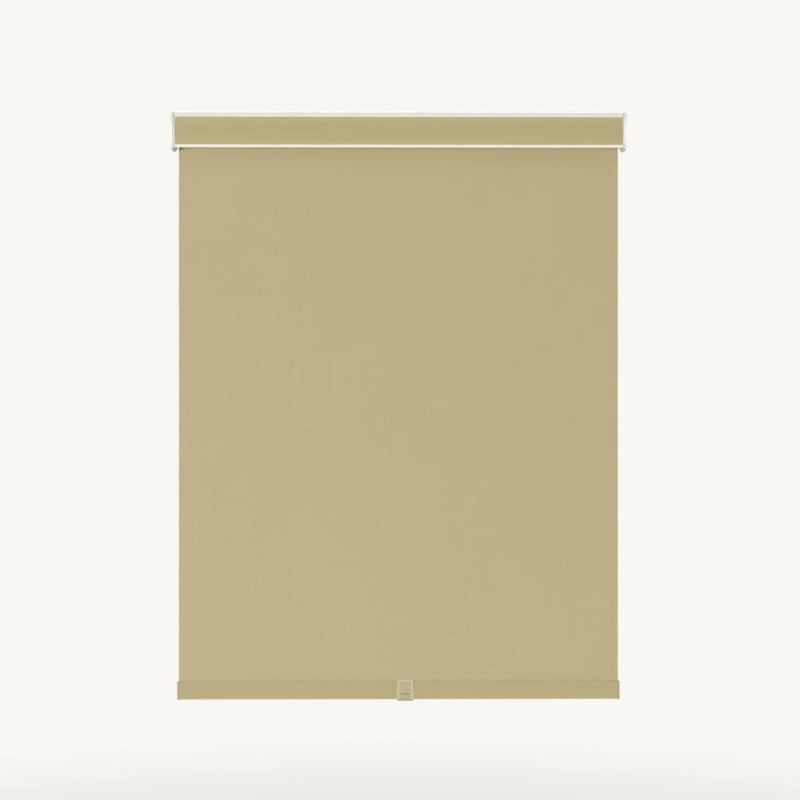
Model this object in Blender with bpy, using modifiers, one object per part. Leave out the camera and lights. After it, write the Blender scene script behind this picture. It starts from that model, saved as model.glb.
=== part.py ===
"""Cordless roller blind in a curved cassette, for mounting inside a window opening.

Frame: +X to the right, +Y away from the room, +Z up, in metres. The origin is the middle of the
mounting plane, which is the top of the two brackets, straight above the roller's axis.
Every outline is written as (y, z) or (radius, x) pairs, in metres.
"""

import math

import bmesh
import bpy
from mathutils import Matrix, Vector

MM = 0.001
FIT = 0.3 * MM  # gap between two pieces that touch

# Driving dimensions
WIDTH = 908 * MM  # over the end caps
HEM_BOTTOM_Z = -1182 * MM  # underside of the hem bar with the blind fully down
FABRIC_WIDTH = 886 * MM
CASSETTE_TOP_Z = -5 * MM
CASSETTE_BOTTOM_Z = -75 * MM
CAP_THICKNESS = 5 * MM
PLATE_THICKNESS = 2 * MM  # the plates behind the caps, which carry the roller
CAP_ROUNDING = 1.1 * MM
SCREW_SEAT = 2.2 * MM  # depth of each counterbore
AXIS_Z = -42 * MM  # roller axis, at y = 0
TUBE_RADIUS = 19 * MM
BRACKET_X = 352.5 * MM  # each bracket's middle, either side of the blind's middle
HANDLE_X = 13.5 * MM

# Worked out from the driving dimensions
HALF_WIDTH = WIDTH / 2
CAP_INNER_X = HALF_WIDTH - CAP_THICKNESS
PLATE_OUTER_X = CAP_INNER_X - FIT
PLATE_INNER_X = PLATE_OUTER_X - PLATE_THICKNESS
RAIL_END_X = PLATE_INNER_X - FIT
TUBE_END_X = FABRIC_WIDTH / 2
TUBE_BORE = TUBE_RADIUS - 1.2 * MM
PLUG_RADIUS = TUBE_BORE - FIT
FLANGE_INNER_X = TUBE_END_X + FIT
FLANGE_OUTER_X = FLANGE_INNER_X + 1.2 * MM

# Cassette section: a front arc between a top and a bottom fillet
ARC_Y = -8.4 * MM
ARC_Z = -41 * MM
LIP_RADIUS = 41 * MM
SLOT_OUTER = 39.7 * MM  # back of the lips, where the insert slides
SLOT_INNER = 38.3 * MM  # front of the fascia wall
WALL_INNER = 37 * MM
UPPER_LIP, UPPER_SLOT = 27 * MM, 30 * MM  # lip's edge and slot's end, above the arc's centre
LOWER_LIP, LOWER_SLOT = 29.6 * MM, 30.8 * MM  # the same below it
INSERT_PLAY = 0.7 * MM  # between the insert's edges and the slots' ends
TOP_WALL = 1.4 * MM
REAR_Y = 34 * MM
PORT_RADIUS = 1.7 * MM
SCREW_PORTS = ((-24.5 * MM, -10.3 * MM), (26.5 * MM, -10.3 * MM), (-29 * MM, -71 * MM))

# Fabric
SHEET_THICKNESS = 0.45 * MM
ROLL_INNER = TUBE_RADIUS + FIT
ROLL_OUTER = ROLL_INNER + 2 * SHEET_THICKNESS  # two turns stay on the tube
SHEET_FRONT_Y = ROLL_OUTER + FIT
SHEET_Y = SHEET_FRONT_Y + SHEET_THICKNESS / 2

# Hem bar, as seen from its end
HEM_HEIGHT = 36.5 * MM
HEM_DEPTH = 9.4 * MM
HEM_CENTRE_Z = HEM_BOTTOM_Z + HEM_HEIGHT / 2
HEM_TOP_Z = HEM_BOTTOM_Z + HEM_HEIGHT
WRAP_THICKNESS = 0.5 * MM

TURN = 2 * math.pi


# Scene and materials

def clear_scene():
    for obj in list(bpy.data.objects):
        bpy.data.objects.remove(obj, do_unlink=True)


def new_collection(name):
    collection = bpy.data.collections.new(name)
    bpy.context.scene.collection.children.link(collection)
    return collection


def make_material(name, colour, roughness, metallic=0.0, alpha=1.0):
    material = bpy.data.materials.new(name)
    material.use_nodes = True
    shader = material.node_tree.nodes["Principled BSDF"]
    shader.inputs["Base Color"].default_value = (*colour, 1.0)
    shader.inputs["Roughness"].default_value = roughness
    shader.inputs["Metallic"].default_value = metallic
    shader.inputs["Alpha"].default_value = alpha
    material.diffuse_color = (*colour, alpha)
    return material


# Outlines

def arc(centre, radius, start, end, steps):
    """Points on an arc from start to end, in degrees, both ends included."""
    angles = [math.radians(start + (end - start) * i / steps) for i in range(steps + 1)]
    return [(centre[0] + radius * math.cos(a), centre[1] + radius * math.sin(a)) for a in angles]


def circle(centre, radius, steps=16):
    return arc(centre, radius, 0, 360, steps)[:-1]


def rounded_rectangle(centre, width, height, radius, steps=5):
    """Width is along the outline's first axis."""
    points = []
    for quarter, (side, end) in enumerate(((1, 1), (-1, 1), (-1, -1), (1, -1))):
        corner = (
            centre[0] + side * (width / 2 - radius),
            centre[1] + end * (height / 2 - radius),
        )
        points += arc(corner, radius, 90 * quarter, 90 * quarter + 90, steps)
    return points


def arc_angle(radius, height):
    """Angle, in degrees, at which the fascia's front arc of this radius is height above its centre."""
    return (180 - math.degrees(math.asin(height / radius))) % 360


def fillet_on_arc(line_z, radius, outer_radius=LIP_RADIUS):
    """Centre of a fillet between the front arc and a level line, and its angle seen from the arc."""
    inward = -1 if line_z > ARC_Z else 1
    z = line_z + inward * radius
    y = ARC_Y - math.sqrt((outer_radius - radius) ** 2 - (z - ARC_Z) ** 2)
    angle = math.degrees(math.atan2(z - ARC_Z, y - ARC_Y)) % 360
    return (y, z), angle


def end_silhouette(inset):
    """The end cap's outline, seen from the side, drawn in by inset."""
    outer = 42 * MM
    top_z, bottom_z, rear_y = -4.2 * MM, -77.6 * MM, 36.3 * MM
    top_fillet, bottom_fillet, rear_top, rear_bottom = 6.6 * MM, 5 * MM, 4 * MM, 16 * MM
    top, top_angle = fillet_on_arc(top_z, top_fillet, outer)
    bottom, bottom_angle = fillet_on_arc(bottom_z, bottom_fillet, outer)
    upper_corner = (rear_y - rear_top, top_z - rear_top)
    lower_corner = (rear_y - rear_bottom, bottom_z + rear_bottom)
    return (
        arc(top, top_fillet - inset, 90, top_angle, 4)
        + arc((ARC_Y, ARC_Z), outer - inset, top_angle, bottom_angle, 18)[1:]
        + arc(bottom, bottom_fillet - inset, bottom_angle, 270, 4)[1:]
        + arc(lower_corner, rear_bottom - inset, -90, 0, 6)
        + arc(upper_corner, rear_top - inset, 0, 90, 4)
    )


# Solids

def add_object(name, mesh, collection, material=None):
    obj = bpy.data.objects.new(name, mesh)
    collection.objects.link(obj)
    if material:
        mesh.materials.clear()
        mesh.materials.append(material)
    return obj


def shade_round(mesh):
    """Smooth shading, with an edge kept wherever the surface turns sharply."""
    mesh.shade_smooth()
    mesh.set_sharp_from_angle(angle=math.radians(35))


def evaluated_mesh(obj):
    """A copy of the object's mesh as its modifiers leave it."""
    bpy.context.view_layer.update()
    evaluated = obj.evaluated_get(bpy.context.evaluated_depsgraph_get())
    return bpy.data.meshes.new_from_object(evaluated)


def mesh_from_curve(curve, matrix):
    """The curve's solid as a mesh, its caps welded, moved by matrix."""
    holder = bpy.data.objects.new("guide", curve)
    bpy.context.scene.collection.objects.link(holder)
    mesh = evaluated_mesh(holder)
    mesh.transform(matrix)
    body = bmesh.new()
    body.from_mesh(mesh)
    bmesh.ops.remove_doubles(body, verts=body.verts, dist=0.005 * MM)
    bmesh.ops.recalc_face_normals(body, faces=body.faces)
    body.to_mesh(mesh)
    body.free()
    bpy.data.objects.remove(holder)
    shade_round(mesh)
    return mesh


def flat_curve(loops, thickness):
    """A filled outline of that thickness. The first loop is the rim and the others are holes."""
    curve = bpy.data.curves.new("outline", "CURVE")
    curve.dimensions = "2D"
    curve.fill_mode = "BOTH"
    curve.extrude = thickness / 2
    for loop in loops:
        spline = curve.splines.new("POLY")
        spline.points.add(len(loop) - 1)
        for point, place in zip(spline.points, loop):
            point.co = (place[0], place[1], 0, 1)
        spline.use_cyclic_u = True
    return curve


def extruded(name, loops, start_x, end_x, material, collection=None):
    """A (y, z) outline drawn along X."""
    upright = Matrix(((0, 0, 1, 0), (1, 0, 0, 0), (0, 1, 0, 0), (0, 0, 0, 1)))
    place = Matrix.Translation(((start_x + end_x) / 2, 0, 0)) @ upright
    mesh = mesh_from_curve(flat_curve(loops, abs(end_x - start_x)), place)
    return add_object(name, mesh, collection or parts, material)


def block(name, low, high, material, collection=None):
    """A box between two corners."""
    mesh = bpy.data.meshes.new(name)
    body = bmesh.new()
    size = Vector(high) - Vector(low)
    place = Matrix.Translation((Vector(high) + Vector(low)) / 2) @ Matrix.Diagonal((*size, 1))
    bmesh.ops.create_cube(body, size=1, matrix=place)
    body.to_mesh(mesh)
    body.free()
    return add_object(name, mesh, collection or parts, material)


def cylinder(name, start, end, radius, collection, steps=20):
    """A cylinder along X between two points."""
    mesh = bpy.data.meshes.new(name)
    body = bmesh.new()
    middle = (Vector(start) + Vector(end)) / 2
    turn = Matrix.Rotation(math.radians(90), 4, "Y")
    bmesh.ops.create_cone(
        body,
        cap_ends=True,
        segments=steps,
        radius1=radius,
        radius2=radius,
        depth=abs(end[0] - start[0]),
        matrix=Matrix.Translation(middle) @ turn,
    )
    body.to_mesh(mesh)
    body.free()
    return add_object(name, mesh, collection)


def turned(name, profile, material, steps=32, centre=(0, AXIS_Z)):
    """A (radius, x) profile turned about a line along X. It closes on itself, or on the axis."""
    area = sum(
        a[0] * b[1] - b[0] * a[1] for a, b in zip(profile, profile[1:] + profile[:1])
    )
    points = profile if area < 0 else profile[::-1]
    on_axis = min(radius for radius, _ in points) == 0
    if on_axis:
        first = next(i for i, p in enumerate(points) if p[0] == 0 and points[i - 1][0] == 0)
        points = points[first:] + points[:first]
    mesh = bpy.data.meshes.new(name)
    count = len(points)
    edges = [(i, (i + 1) % count) for i in range(count if not on_axis else count - 1)]
    mesh.from_pydata([(radius, 0, x) for radius, x in points], edges, [])
    obj = add_object(name, mesh, parts, material)
    obj.location = (0, *centre)
    obj.rotation_euler = (0, math.radians(90), 0)
    screw = obj.modifiers.new("Turn", "SCREW")
    screw.axis = "Z"
    screw.angle = TURN
    screw.steps = screw.render_steps = steps
    screw.use_merge_vertices = True
    screw.merge_threshold = 0.01 * MM
    solid = evaluated_mesh(obj)
    shade_round(solid)
    obj.modifiers.remove(screw)
    obj.data = solid
    return obj


def coil_points(start, end, radius, turns, per_turn):
    """Points of a coil about the line from start to end, which lies along X or Y."""
    start, end = Vector(start), Vector(end)
    along = (end - start).normalized()
    side = Vector((0, 0, 1))
    other = along.cross(side)
    count = round(turns * per_turn)
    points = []
    for i in range(count + 1):
        angle = TURN * i / per_turn
        around = side * math.cos(angle) + other * math.sin(angle)
        points.append(start.lerp(end, i / count) + around * radius)
    return points


def wire(name, points, radius, material):
    """A round wire through these points."""
    curve = bpy.data.curves.new(name, "CURVE")
    curve.dimensions = "3D"
    curve.bevel_depth = radius
    curve.bevel_resolution = 2
    curve.use_fill_caps = True
    spline = curve.splines.new("POLY")
    spline.points.add(len(points) - 1)
    for point, place in zip(spline.points, points):
        point.co = (*place, 1)
    curve.materials.append(material)
    obj = bpy.data.objects.new(name, curve)
    parts.objects.link(obj)
    return obj


def combine(obj, other, operation):
    """Joins another solid to this one, cuts it out, or keeps what they share."""
    if other.name not in cutters.objects:
        parts.objects.unlink(other)
        cutters.objects.link(other)
    other.hide_render = True
    other.display_type = "WIRE"
    modifier = obj.modifiers.new(other.name, "BOOLEAN")
    modifier.operation = operation
    modifier.solver = "EXACT"
    modifier.object = other


def soften(obj, width):
    """Rounds the edges between the solid's sides and its ends."""
    bevel = obj.modifiers.new("Round", "BEVEL")
    bevel.width = width
    bevel.segments = 2
    bevel.limit_method = "ANGLE"
    bevel.angle_limit = math.radians(60)


# Cassette

def cassette_outline():
    """The aluminium extrusion's section, with its bracket hooks, insert slots and screw blocks."""
    top, top_angle = fillet_on_arc(CASSETTE_TOP_Z, 6 * MM)
    bottom, bottom_angle = fillet_on_arc(CASSETTE_BOTTOM_Z, 4 * MM)
    centre = (ARC_Y, ARC_Z)
    lip_start, lip_end = arc_angle(LIP_RADIUS, UPPER_LIP), arc_angle(LIP_RADIUS, -LOWER_LIP)
    slot_start, slot_end = arc_angle(SLOT_OUTER, UPPER_SLOT), arc_angle(SLOT_OUTER, -LOWER_SLOT)
    hook_under, hook_top = -2.7 * MM, -1.5 * MM
    rear_hook = [
        (27 * MM, CASSETTE_TOP_Z),
        (27 * MM, hook_top),
        (22.5 * MM, hook_top),
        (22.5 * MM, hook_under),
        (25.8 * MM, hook_under),
        (25.8 * MM, CASSETTE_TOP_Z),
    ]
    front_hook = [
        (-21 * MM, CASSETTE_TOP_Z),
        (-21 * MM, hook_under),
        (-17.5 * MM, hook_under),
        (-17.5 * MM, hook_top),
        (-22.2 * MM, hook_top),
        (-22.2 * MM, CASSETTE_TOP_Z),
    ]
    front = (
        arc(top, 6 * MM, 90, top_angle, 4)
        + arc(centre, LIP_RADIUS, top_angle, lip_start, 3)[1:]
        + arc(centre, SLOT_OUTER, lip_start, slot_start, 2)
        + arc(centre, SLOT_INNER, slot_start, slot_end, 18)
        + arc(centre, SLOT_OUTER, slot_end, lip_end, 2)
        + arc(centre, LIP_RADIUS, lip_end, bottom_angle, 3)
        + arc(bottom, 4 * MM, bottom_angle, 270, 4)[1:]
    )
    ledge_z = -67.5 * MM
    wall_low = arc_angle(WALL_INNER, ledge_z - ARC_Z)
    under_top = CASSETTE_TOP_Z - TOP_WALL
    boss = 3.5 * MM
    front_port, rear_port, _ = SCREW_PORTS
    boss_front_y = front_port[0] - boss
    rear_inner_y, flange_bottom_z = REAR_Y - TOP_WALL, -22 * MM
    inside = (
        [(-25 * MM, CASSETTE_BOTTOM_Z), (-25 * MM, ledge_z)]
        + arc(centre, WALL_INNER, wall_low, 127, 16)
        + [(boss_front_y - 1.6 * MM, -9.2 * MM), (boss_front_y, -7.6 * MM)]
        + arc(front_port, boss, 180, 360, 8)
        + [(front_port[0] + boss, under_top), (rear_port[0] - boss, under_top)]
        + arc(rear_port, boss, 180, 360, 8)
        + [(rear_port[0] + boss, under_top), (rear_inner_y, under_top)]
        + [(rear_inner_y, flange_bottom_z), (REAR_Y, flange_bottom_z), (REAR_Y, CASSETTE_TOP_Z)]
    )
    return rear_hook + front_hook + front + inside


def make_cassette():
    ports = [circle(port, PORT_RADIUS, 12) for port in SCREW_PORTS]
    loops = [cassette_outline(), *ports]
    extruded("cassette_rail", loops, -RAIL_END_X, RAIL_END_X, white_aluminium)

    centre = (ARC_Y, ARC_Z)
    front, back = SLOT_OUTER - FIT, SLOT_INNER + FIT
    start, end = arc_angle(front, UPPER_SLOT - INSERT_PLAY), arc_angle(front, INSERT_PLAY - LOWER_SLOT)
    band = arc(centre, front, start, end, 24) + arc(centre, back, end, start, 24)
    end_x = RAIL_END_X - 1 * MM
    extruded("fascia_insert", [band], -end_x, end_x, fabric)


def make_end_cap(name, side):
    """A moulded cap with a pocket behind it, and three counterbored screw holes."""
    inner_x, outer_x = side * CAP_INNER_X, side * HALF_WIDTH
    cap = extruded(name, [end_silhouette(0)], inner_x, outer_x, white_plastic)
    soften(cap, CAP_ROUNDING)
    pocket_outline = rounded_rectangle((2 * MM, AXIS_Z), 46 * MM, 44 * MM, 9 * MM, 3)
    floor_x = inner_x + side * 2.6 * MM
    pocket = extruded(name + "_pocket", [pocket_outline], inner_x - side * MM, floor_x, None, cutters)
    combine(cap, pocket, "DIFFERENCE")
    seat_x = outer_x - side * SCREW_SEAT
    beyond_x = outer_x + side * MM
    for number, (y, z) in enumerate(SCREW_PORTS, 1):
        hole = cylinder(
            f"{name}_hole_{number}", (inner_x - side * MM, y, z), (beyond_x, y, z), 1.8 * MM, cutters, 12
        )
        seat = cylinder(f"{name}_seat_{number}", (seat_x, y, z), (beyond_x, y, z), 3.6 * MM, cutters)
        combine(cap, hole, "DIFFERENCE")
        combine(cap, seat, "DIFFERENCE")


def make_cap_screws(name, side):
    """Three pan-head screws through the cap and the plate into the cassette's screw blocks."""
    seat_x = HALF_WIDTH - SCREW_SEAT + FIT
    head = [(0, seat_x + 1.7 * MM), (2 * MM, seat_x + 1.6 * MM), (3.2 * MM, seat_x + 0.9 * MM)]
    shank = [(3.2 * MM, seat_x), (1.4 * MM, seat_x), (1.4 * MM, seat_x - 15 * MM)]
    tip = [(0.4 * MM, seat_x - 17 * MM), (0, seat_x - 17 * MM)]
    profile = [(radius, side * x) for radius, x in head + shank + tip]
    for number, port in enumerate(SCREW_PORTS, 1):
        turned(f"{name}_{number}", profile, steel, 12, port)


def make_end_plate(name, side, socket):
    """The painted steel plate behind each cap. Its socket carries one end of the roller."""
    holes = [circle(port, 1.8 * MM, 12) for port in SCREW_PORTS]
    loops = [end_silhouette(3.2 * MM), *holes, socket]
    extruded(name, loops, side * PLATE_INNER_X, side * PLATE_OUTER_X, white_metal)


# Brackets

PAD_HALF = 14 * MM  # the bracket reaches this far each side of its middle
LATCH_HALF = 4.5 * MM


def make_bracket(name, x):
    """A pressed steel bracket. Its front tongue hooks under the cassette's front rib."""
    outline = [
        (-20.3 * MM, -3.3 * MM),
        (-16.6 * MM, -3.3 * MM),
        (-14.4 * MM, 0),
        (14.4 * MM, 0),
        (16.6 * MM, -3.3 * MM),
        (19.5 * MM, -3.3 * MM),
        (19.5 * MM, -4.7 * MM),
        (15.7 * MM, -4.7 * MM),
        (13.6 * MM, -1.5 * MM),
        (-13.6 * MM, -1.5 * MM),
        (-15.7 * MM, -4.7 * MM),
        (-20.3 * MM, -4.7 * MM),
    ]
    bracket = extruded(name, [outline], x - PAD_HALF, x + PAD_HALF, white_metal)
    room = LATCH_HALF + 0.7 * MM
    notch = block(
        name + "_notch", (x - room, 12.5 * MM, -6 * MM), (x + room, 22 * MM, MM), None, cutters
    )
    combine(bracket, notch, "DIFFERENCE")
    for hole_side in (-1, 1):
        mesh = bpy.data.meshes.new("hole")
        body = bmesh.new()
        place = Matrix.Translation((x + hole_side * 9.5 * MM, 0, 0))
        bmesh.ops.create_cone(
            body,
            cap_ends=True,
            segments=16,
            radius1=2.3 * MM,
            radius2=2.3 * MM,
            depth=6 * MM,
            matrix=place,
        )
        body.to_mesh(mesh)
        body.free()
        hole = add_object(f"{name}_hole_{'right' if hole_side > 0 else 'left'}", mesh, cutters)
        combine(bracket, hole, "DIFFERENCE")


def make_latch(name, x):
    """The sliding release. Its tongue holds the rear rib and its thumb tab hangs behind the cassette."""
    outline = [
        (1 * MM, -4.6 * MM),
        (25.2 * MM, -4.6 * MM),
        (25.2 * MM, -3.2 * MM),
        (18.6 * MM, -3.2 * MM),
        (18.6 * MM, -1.2 * MM),
        (38 * MM, -1.2 * MM),
        (38 * MM, -8 * MM),
        (38.4 * MM, -8 * MM),
        (38.4 * MM, -0.3 * MM),
        (17 * MM, -0.3 * MM),
        (17 * MM, -3.2 * MM),
        (12 * MM, -3.2 * MM),
        (12 * MM, -1.9 * MM),
        (1 * MM, -1.9 * MM),
    ]
    latch = extruded(name, [outline], x - LATCH_HALF, x + LATCH_HALF, white_plastic)
    # The shoulder is wider than the bracket's notch, so it stops the latch on its way back.
    for part, half, low, high in (
        ("shoulder", 9 * MM, (9 * MM, -4.6 * MM), (13.2 * MM, -1.9 * MM)),
        ("thumb_tab", 8 * MM, (37.4 * MM, -18.8 * MM), (38.7 * MM, -4 * MM)),
    ):
        addition = block(f"{name}_{part}", (x - half, *low), (x + half, *high), white_plastic, cutters)
        combine(latch, addition, "UNION")


def make_latch_spring(name, x):
    spring_z = -3.1 * MM
    start, end = (x, -13.9 * MM, spring_z), (x, 0.5 * MM, spring_z)
    wire(name, coil_points(start, end, 1.05 * MM, 5, 8), 0.2 * MM, steel)


# Roller

KEY_WIDTH = 5.2 * MM
KEY_DEPTH = 3.6 * MM


def notched_circle(radius, notch_width, notch_radius, steps):
    """A circle about the roller's axis with a square notch at the top."""
    half = math.degrees(math.asin(notch_width / 2 / radius))
    rim = arc((0, AXIS_Z), radius, 90 + half, 450 - half, steps)
    side = notch_width / 2
    return rim + [(side, AXIS_Z + notch_radius), (-side, AXIS_Z + notch_radius)]


def make_tube():
    groove_floor = TUBE_RADIUS - 2.4 * MM
    outer = notched_circle(TUBE_RADIUS, 2.8 * MM, groove_floor, 60)
    inner = notched_circle(TUBE_BORE, KEY_WIDTH, TUBE_RADIUS - KEY_DEPTH, 60)
    extruded("roller_tube", [outer, inner], -TUBE_END_X, TUBE_END_X, aluminium)

    half, low = 1.1 * MM, AXIS_Z + groove_floor + FIT
    strip = [(-half, low), (half, low), (half, low + 1.5 * MM), (-half, low + 1.5 * MM)]
    end_x = TUBE_END_X - MM
    extruded("fabric_spline", [strip], -end_x, end_x, nylon)


def cut_keyway(plug, start_x, end_x):
    """The slot in a plug that the tube's inner key drives."""
    half = KEY_WIDTH / 2 + FIT
    floor_z = AXIS_Z + TUBE_RADIUS - KEY_DEPTH - FIT
    low, high = sorted((start_x, end_x))
    key = block(
        plug.name + "_keyway", (low, -half, floor_z), (high, half, AXIS_Z + TUBE_RADIUS), None, cutters
    )
    combine(plug, key, "DIFFERENCE")


def make_fabric():
    ring = [circle((0, AXIS_Z), ROLL_OUTER, 64), circle((0, AXIS_Z), ROLL_INNER, 64)]
    extruded("fabric_roll", ring, -TUBE_END_X, TUBE_END_X, fabric)
    block(
        "shade_fabric",
        (-TUBE_END_X, SHEET_FRONT_Y, HEM_TOP_Z + FIT),
        (TUBE_END_X, SHEET_FRONT_Y + SHEET_THICKNESS, AXIS_Z),
        fabric,
    )


def make_idle_end():
    """The left end: a plug with a sprung pin, which snaps into the end plate's bush."""
    shoulder, inside = -438 * MM, -407 * MM
    pin_hole, chamber = 3.3 * MM, 5.6 * MM
    plug = turned(
        "idle_end_plug",
        [
            (pin_hole, -FLANGE_OUTER_X),
            (TUBE_RADIUS, -FLANGE_OUTER_X),
            (TUBE_RADIUS, -FLANGE_INNER_X),
            (PLUG_RADIUS, -FLANGE_INNER_X),
            (PLUG_RADIUS, inside),
            (chamber, inside),
            (chamber, shoulder),
            (pin_hole, shoulder),
        ],
        nylon,
    )
    cut_keyway(plug, -FLANGE_INNER_X, inside + MM)

    pin, collar = 3 * MM, 5.2 * MM
    collar_x = shoulder + FIT
    tip_x = -(PLATE_OUTER_X + MM)
    turned(
        "idle_pin",
        [
            (0, tip_x),
            (2.3 * MM, tip_x),
            (pin, tip_x + 0.8 * MM),
            (pin, collar_x),
            (collar, collar_x),
            (collar, collar_x + 1.5 * MM),
            (pin, collar_x + 1.5 * MM),
            (pin, -404 * MM),
            (0, -404 * MM),
        ],
        steel,
        24,
    )
    start, end = (collar_x + 2.3 * MM, 0, AXIS_Z), (-412.3 * MM, 0, AXIS_Z)
    wire("idle_pin_spring", coil_points(start, end, 4.25 * MM, 5, 9), 0.4 * MM, steel)

    turned(
        "idle_spring_retainer",
        [(3.4 * MM, -411.5 * MM), (5.3 * MM, -411.5 * MM), (5.3 * MM, -407.5 * MM), (3.4 * MM, -407.5 * MM)],
        nylon,
        24,
    )
    bush_flange_x = -(PLATE_INNER_X - FIT)
    turned(
        "idle_socket_bush",
        [
            (pin_hole, -PLATE_OUTER_X),
            (5 * MM, -PLATE_OUTER_X),
            (5 * MM, bush_flange_x),
            (7 * MM, bush_flange_x),
            (7 * MM, bush_flange_x + MM),
            (pin_hole, bush_flange_x + MM),
        ],
        nylon,
        24,
    )


HEAD_RADIUS = 10 * MM
SHAFT_RADIUS = 4 * MM
SPIGOT_RADIUS = 7.2 * MM
HEAD_START_X = 388 * MM  # inner end of the spring motor's fixed head
SHOULDER_X = 402 * MM
CROWN_START_X = 419 * MM
DRIVE_START_X = 204 * MM


def make_spring_head():
    """The fixed head: a spade outside, a bearing for the crown, and a spigot for the spring."""
    shaft_hole = SHAFT_RADIUS + FIT
    disc_x = FLANGE_OUTER_X + 0.4 * MM
    disc_end_x = disc_x + 1.3 * MM
    hole_end_x = 428 * MM
    head = turned(
        "spring_motor_head",
        [
            (shaft_hole, HEAD_START_X),
            (SPIGOT_RADIUS, HEAD_START_X),
            (SPIGOT_RADIUS, SHOULDER_X),
            (HEAD_RADIUS, SHOULDER_X),
            (HEAD_RADIUS, disc_x),
            (12.5 * MM, disc_x),
            (12.5 * MM, disc_end_x),
            (0, disc_end_x),
            (0, hole_end_x),
            (shaft_hole, hole_end_x),
        ],
        nylon,
    )
    spade = block(
        "spring_head_spade",
        (disc_x + MM / 2, -4 * MM, AXIS_Z - 1.5 * MM),
        (PLATE_OUTER_X + MM, 4 * MM, AXIS_Z + 1.5 * MM),
        nylon,
        cutters,
    )
    combine(head, spade, "UNION")
    tang_hole = cylinder(
        "spring_head_tang_hole",
        (SHOULDER_X - MM, 0, AXIS_Z + 8.5 * MM),
        (SHOULDER_X + 6 * MM, 0, AXIS_Z + 8.5 * MM),
        1.2 * MM,
        cutters,
        10,
    )
    combine(head, tang_hole, "DIFFERENCE")


def make_crown_and_brake():
    """The bearing crown that the tube turns on, and the wrap spring that grips the fixed head."""
    crown = turned(
        "bearing_crown",
        [
            (HEAD_RADIUS + FIT, CROWN_START_X),
            (PLUG_RADIUS, CROWN_START_X),
            (PLUG_RADIUS, FLANGE_INNER_X),
            (TUBE_RADIUS, FLANGE_INNER_X),
            (TUBE_RADIUS, FLANGE_OUTER_X),
            (HEAD_RADIUS + FIT, FLANGE_OUTER_X),
        ],
        nylon,
    )
    cut_keyway(crown, CROWN_START_X - MM, FLANGE_INNER_X)
    tang_slot = block(
        "crown_tang_slot",
        (CROWN_START_X - MM, -1.3 * MM, AXIS_Z - 14 * MM),
        (CROWN_START_X + 3.5 * MM, 1.3 * MM, AXIS_Z - 9 * MM),
        None,
        cutters,
    )
    combine(crown, tang_slot, "DIFFERENCE")

    start, end = (SHOULDER_X + 2 * MM, 0, AXIS_Z), (CROWN_START_X - 2.5 * MM, 0, AXIS_Z)
    points = coil_points(start, end, 11.3 * MM, 4.5, 12)
    low_z = AXIS_Z - 12.4 * MM
    points += [Vector((end[0] + 1.8 * MM, 0, low_z)), Vector((CROWN_START_X + 3 * MM, 0, low_z))]
    wire("brake_spring", points, 0.7 * MM, steel)


def make_spring_drive():
    """The fixed shaft, its clip, the plug that the tube drives, and the torsion spring between."""
    groove_x = 199.6 * MM
    groove_end = groove_x + 1.8 * MM
    shaft_start, shaft_end = 196 * MM, 427.6 * MM
    groove_radius = 3 * MM
    turned(
        "spring_shaft",
        [
            (0, shaft_start),
            (SHAFT_RADIUS, shaft_start),
            (SHAFT_RADIUS, groove_x),
            (groove_radius, groove_x),
            (groove_radius, groove_end),
            (SHAFT_RADIUS, groove_end),
            (SHAFT_RADIUS, shaft_end),
            (0, shaft_end),
        ],
        steel,
        24,
    )
    centre = (0, AXIS_Z)
    ring = arc(centre, 7 * MM, -60, 240, 20) + arc(centre, groove_radius + FIT, 240, -60, 20)
    extruded("shaft_clip", [ring], groove_x + FIT, groove_end - FIT, steel)

    spigot_x = DRIVE_START_X + 26 * MM
    plug = turned(
        "spring_drive_plug",
        [
            (SHAFT_RADIUS + FIT, DRIVE_START_X),
            (PLUG_RADIUS, DRIVE_START_X),
            (PLUG_RADIUS, spigot_x),
            (SPIGOT_RADIUS, spigot_x),
            (SPIGOT_RADIUS, spigot_x + 16 * MM),
            (SHAFT_RADIUS + FIT, spigot_x + 16 * MM),
        ],
        nylon,
    )
    cut_keyway(plug, DRIVE_START_X - MM, spigot_x + MM)

    start, end = (spigot_x + 1.5 * MM, 0, AXIS_Z), (SHOULDER_X - 2 * MM, 0, AXIS_Z)
    points = coil_points(start, end, 8.7 * MM, 14, 10)
    points.append(Vector((SHOULDER_X + 5 * MM, 0, AXIS_Z + 8.5 * MM)))
    wire("torsion_spring", points, 0.8 * MM, steel)


# Hem bar

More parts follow.
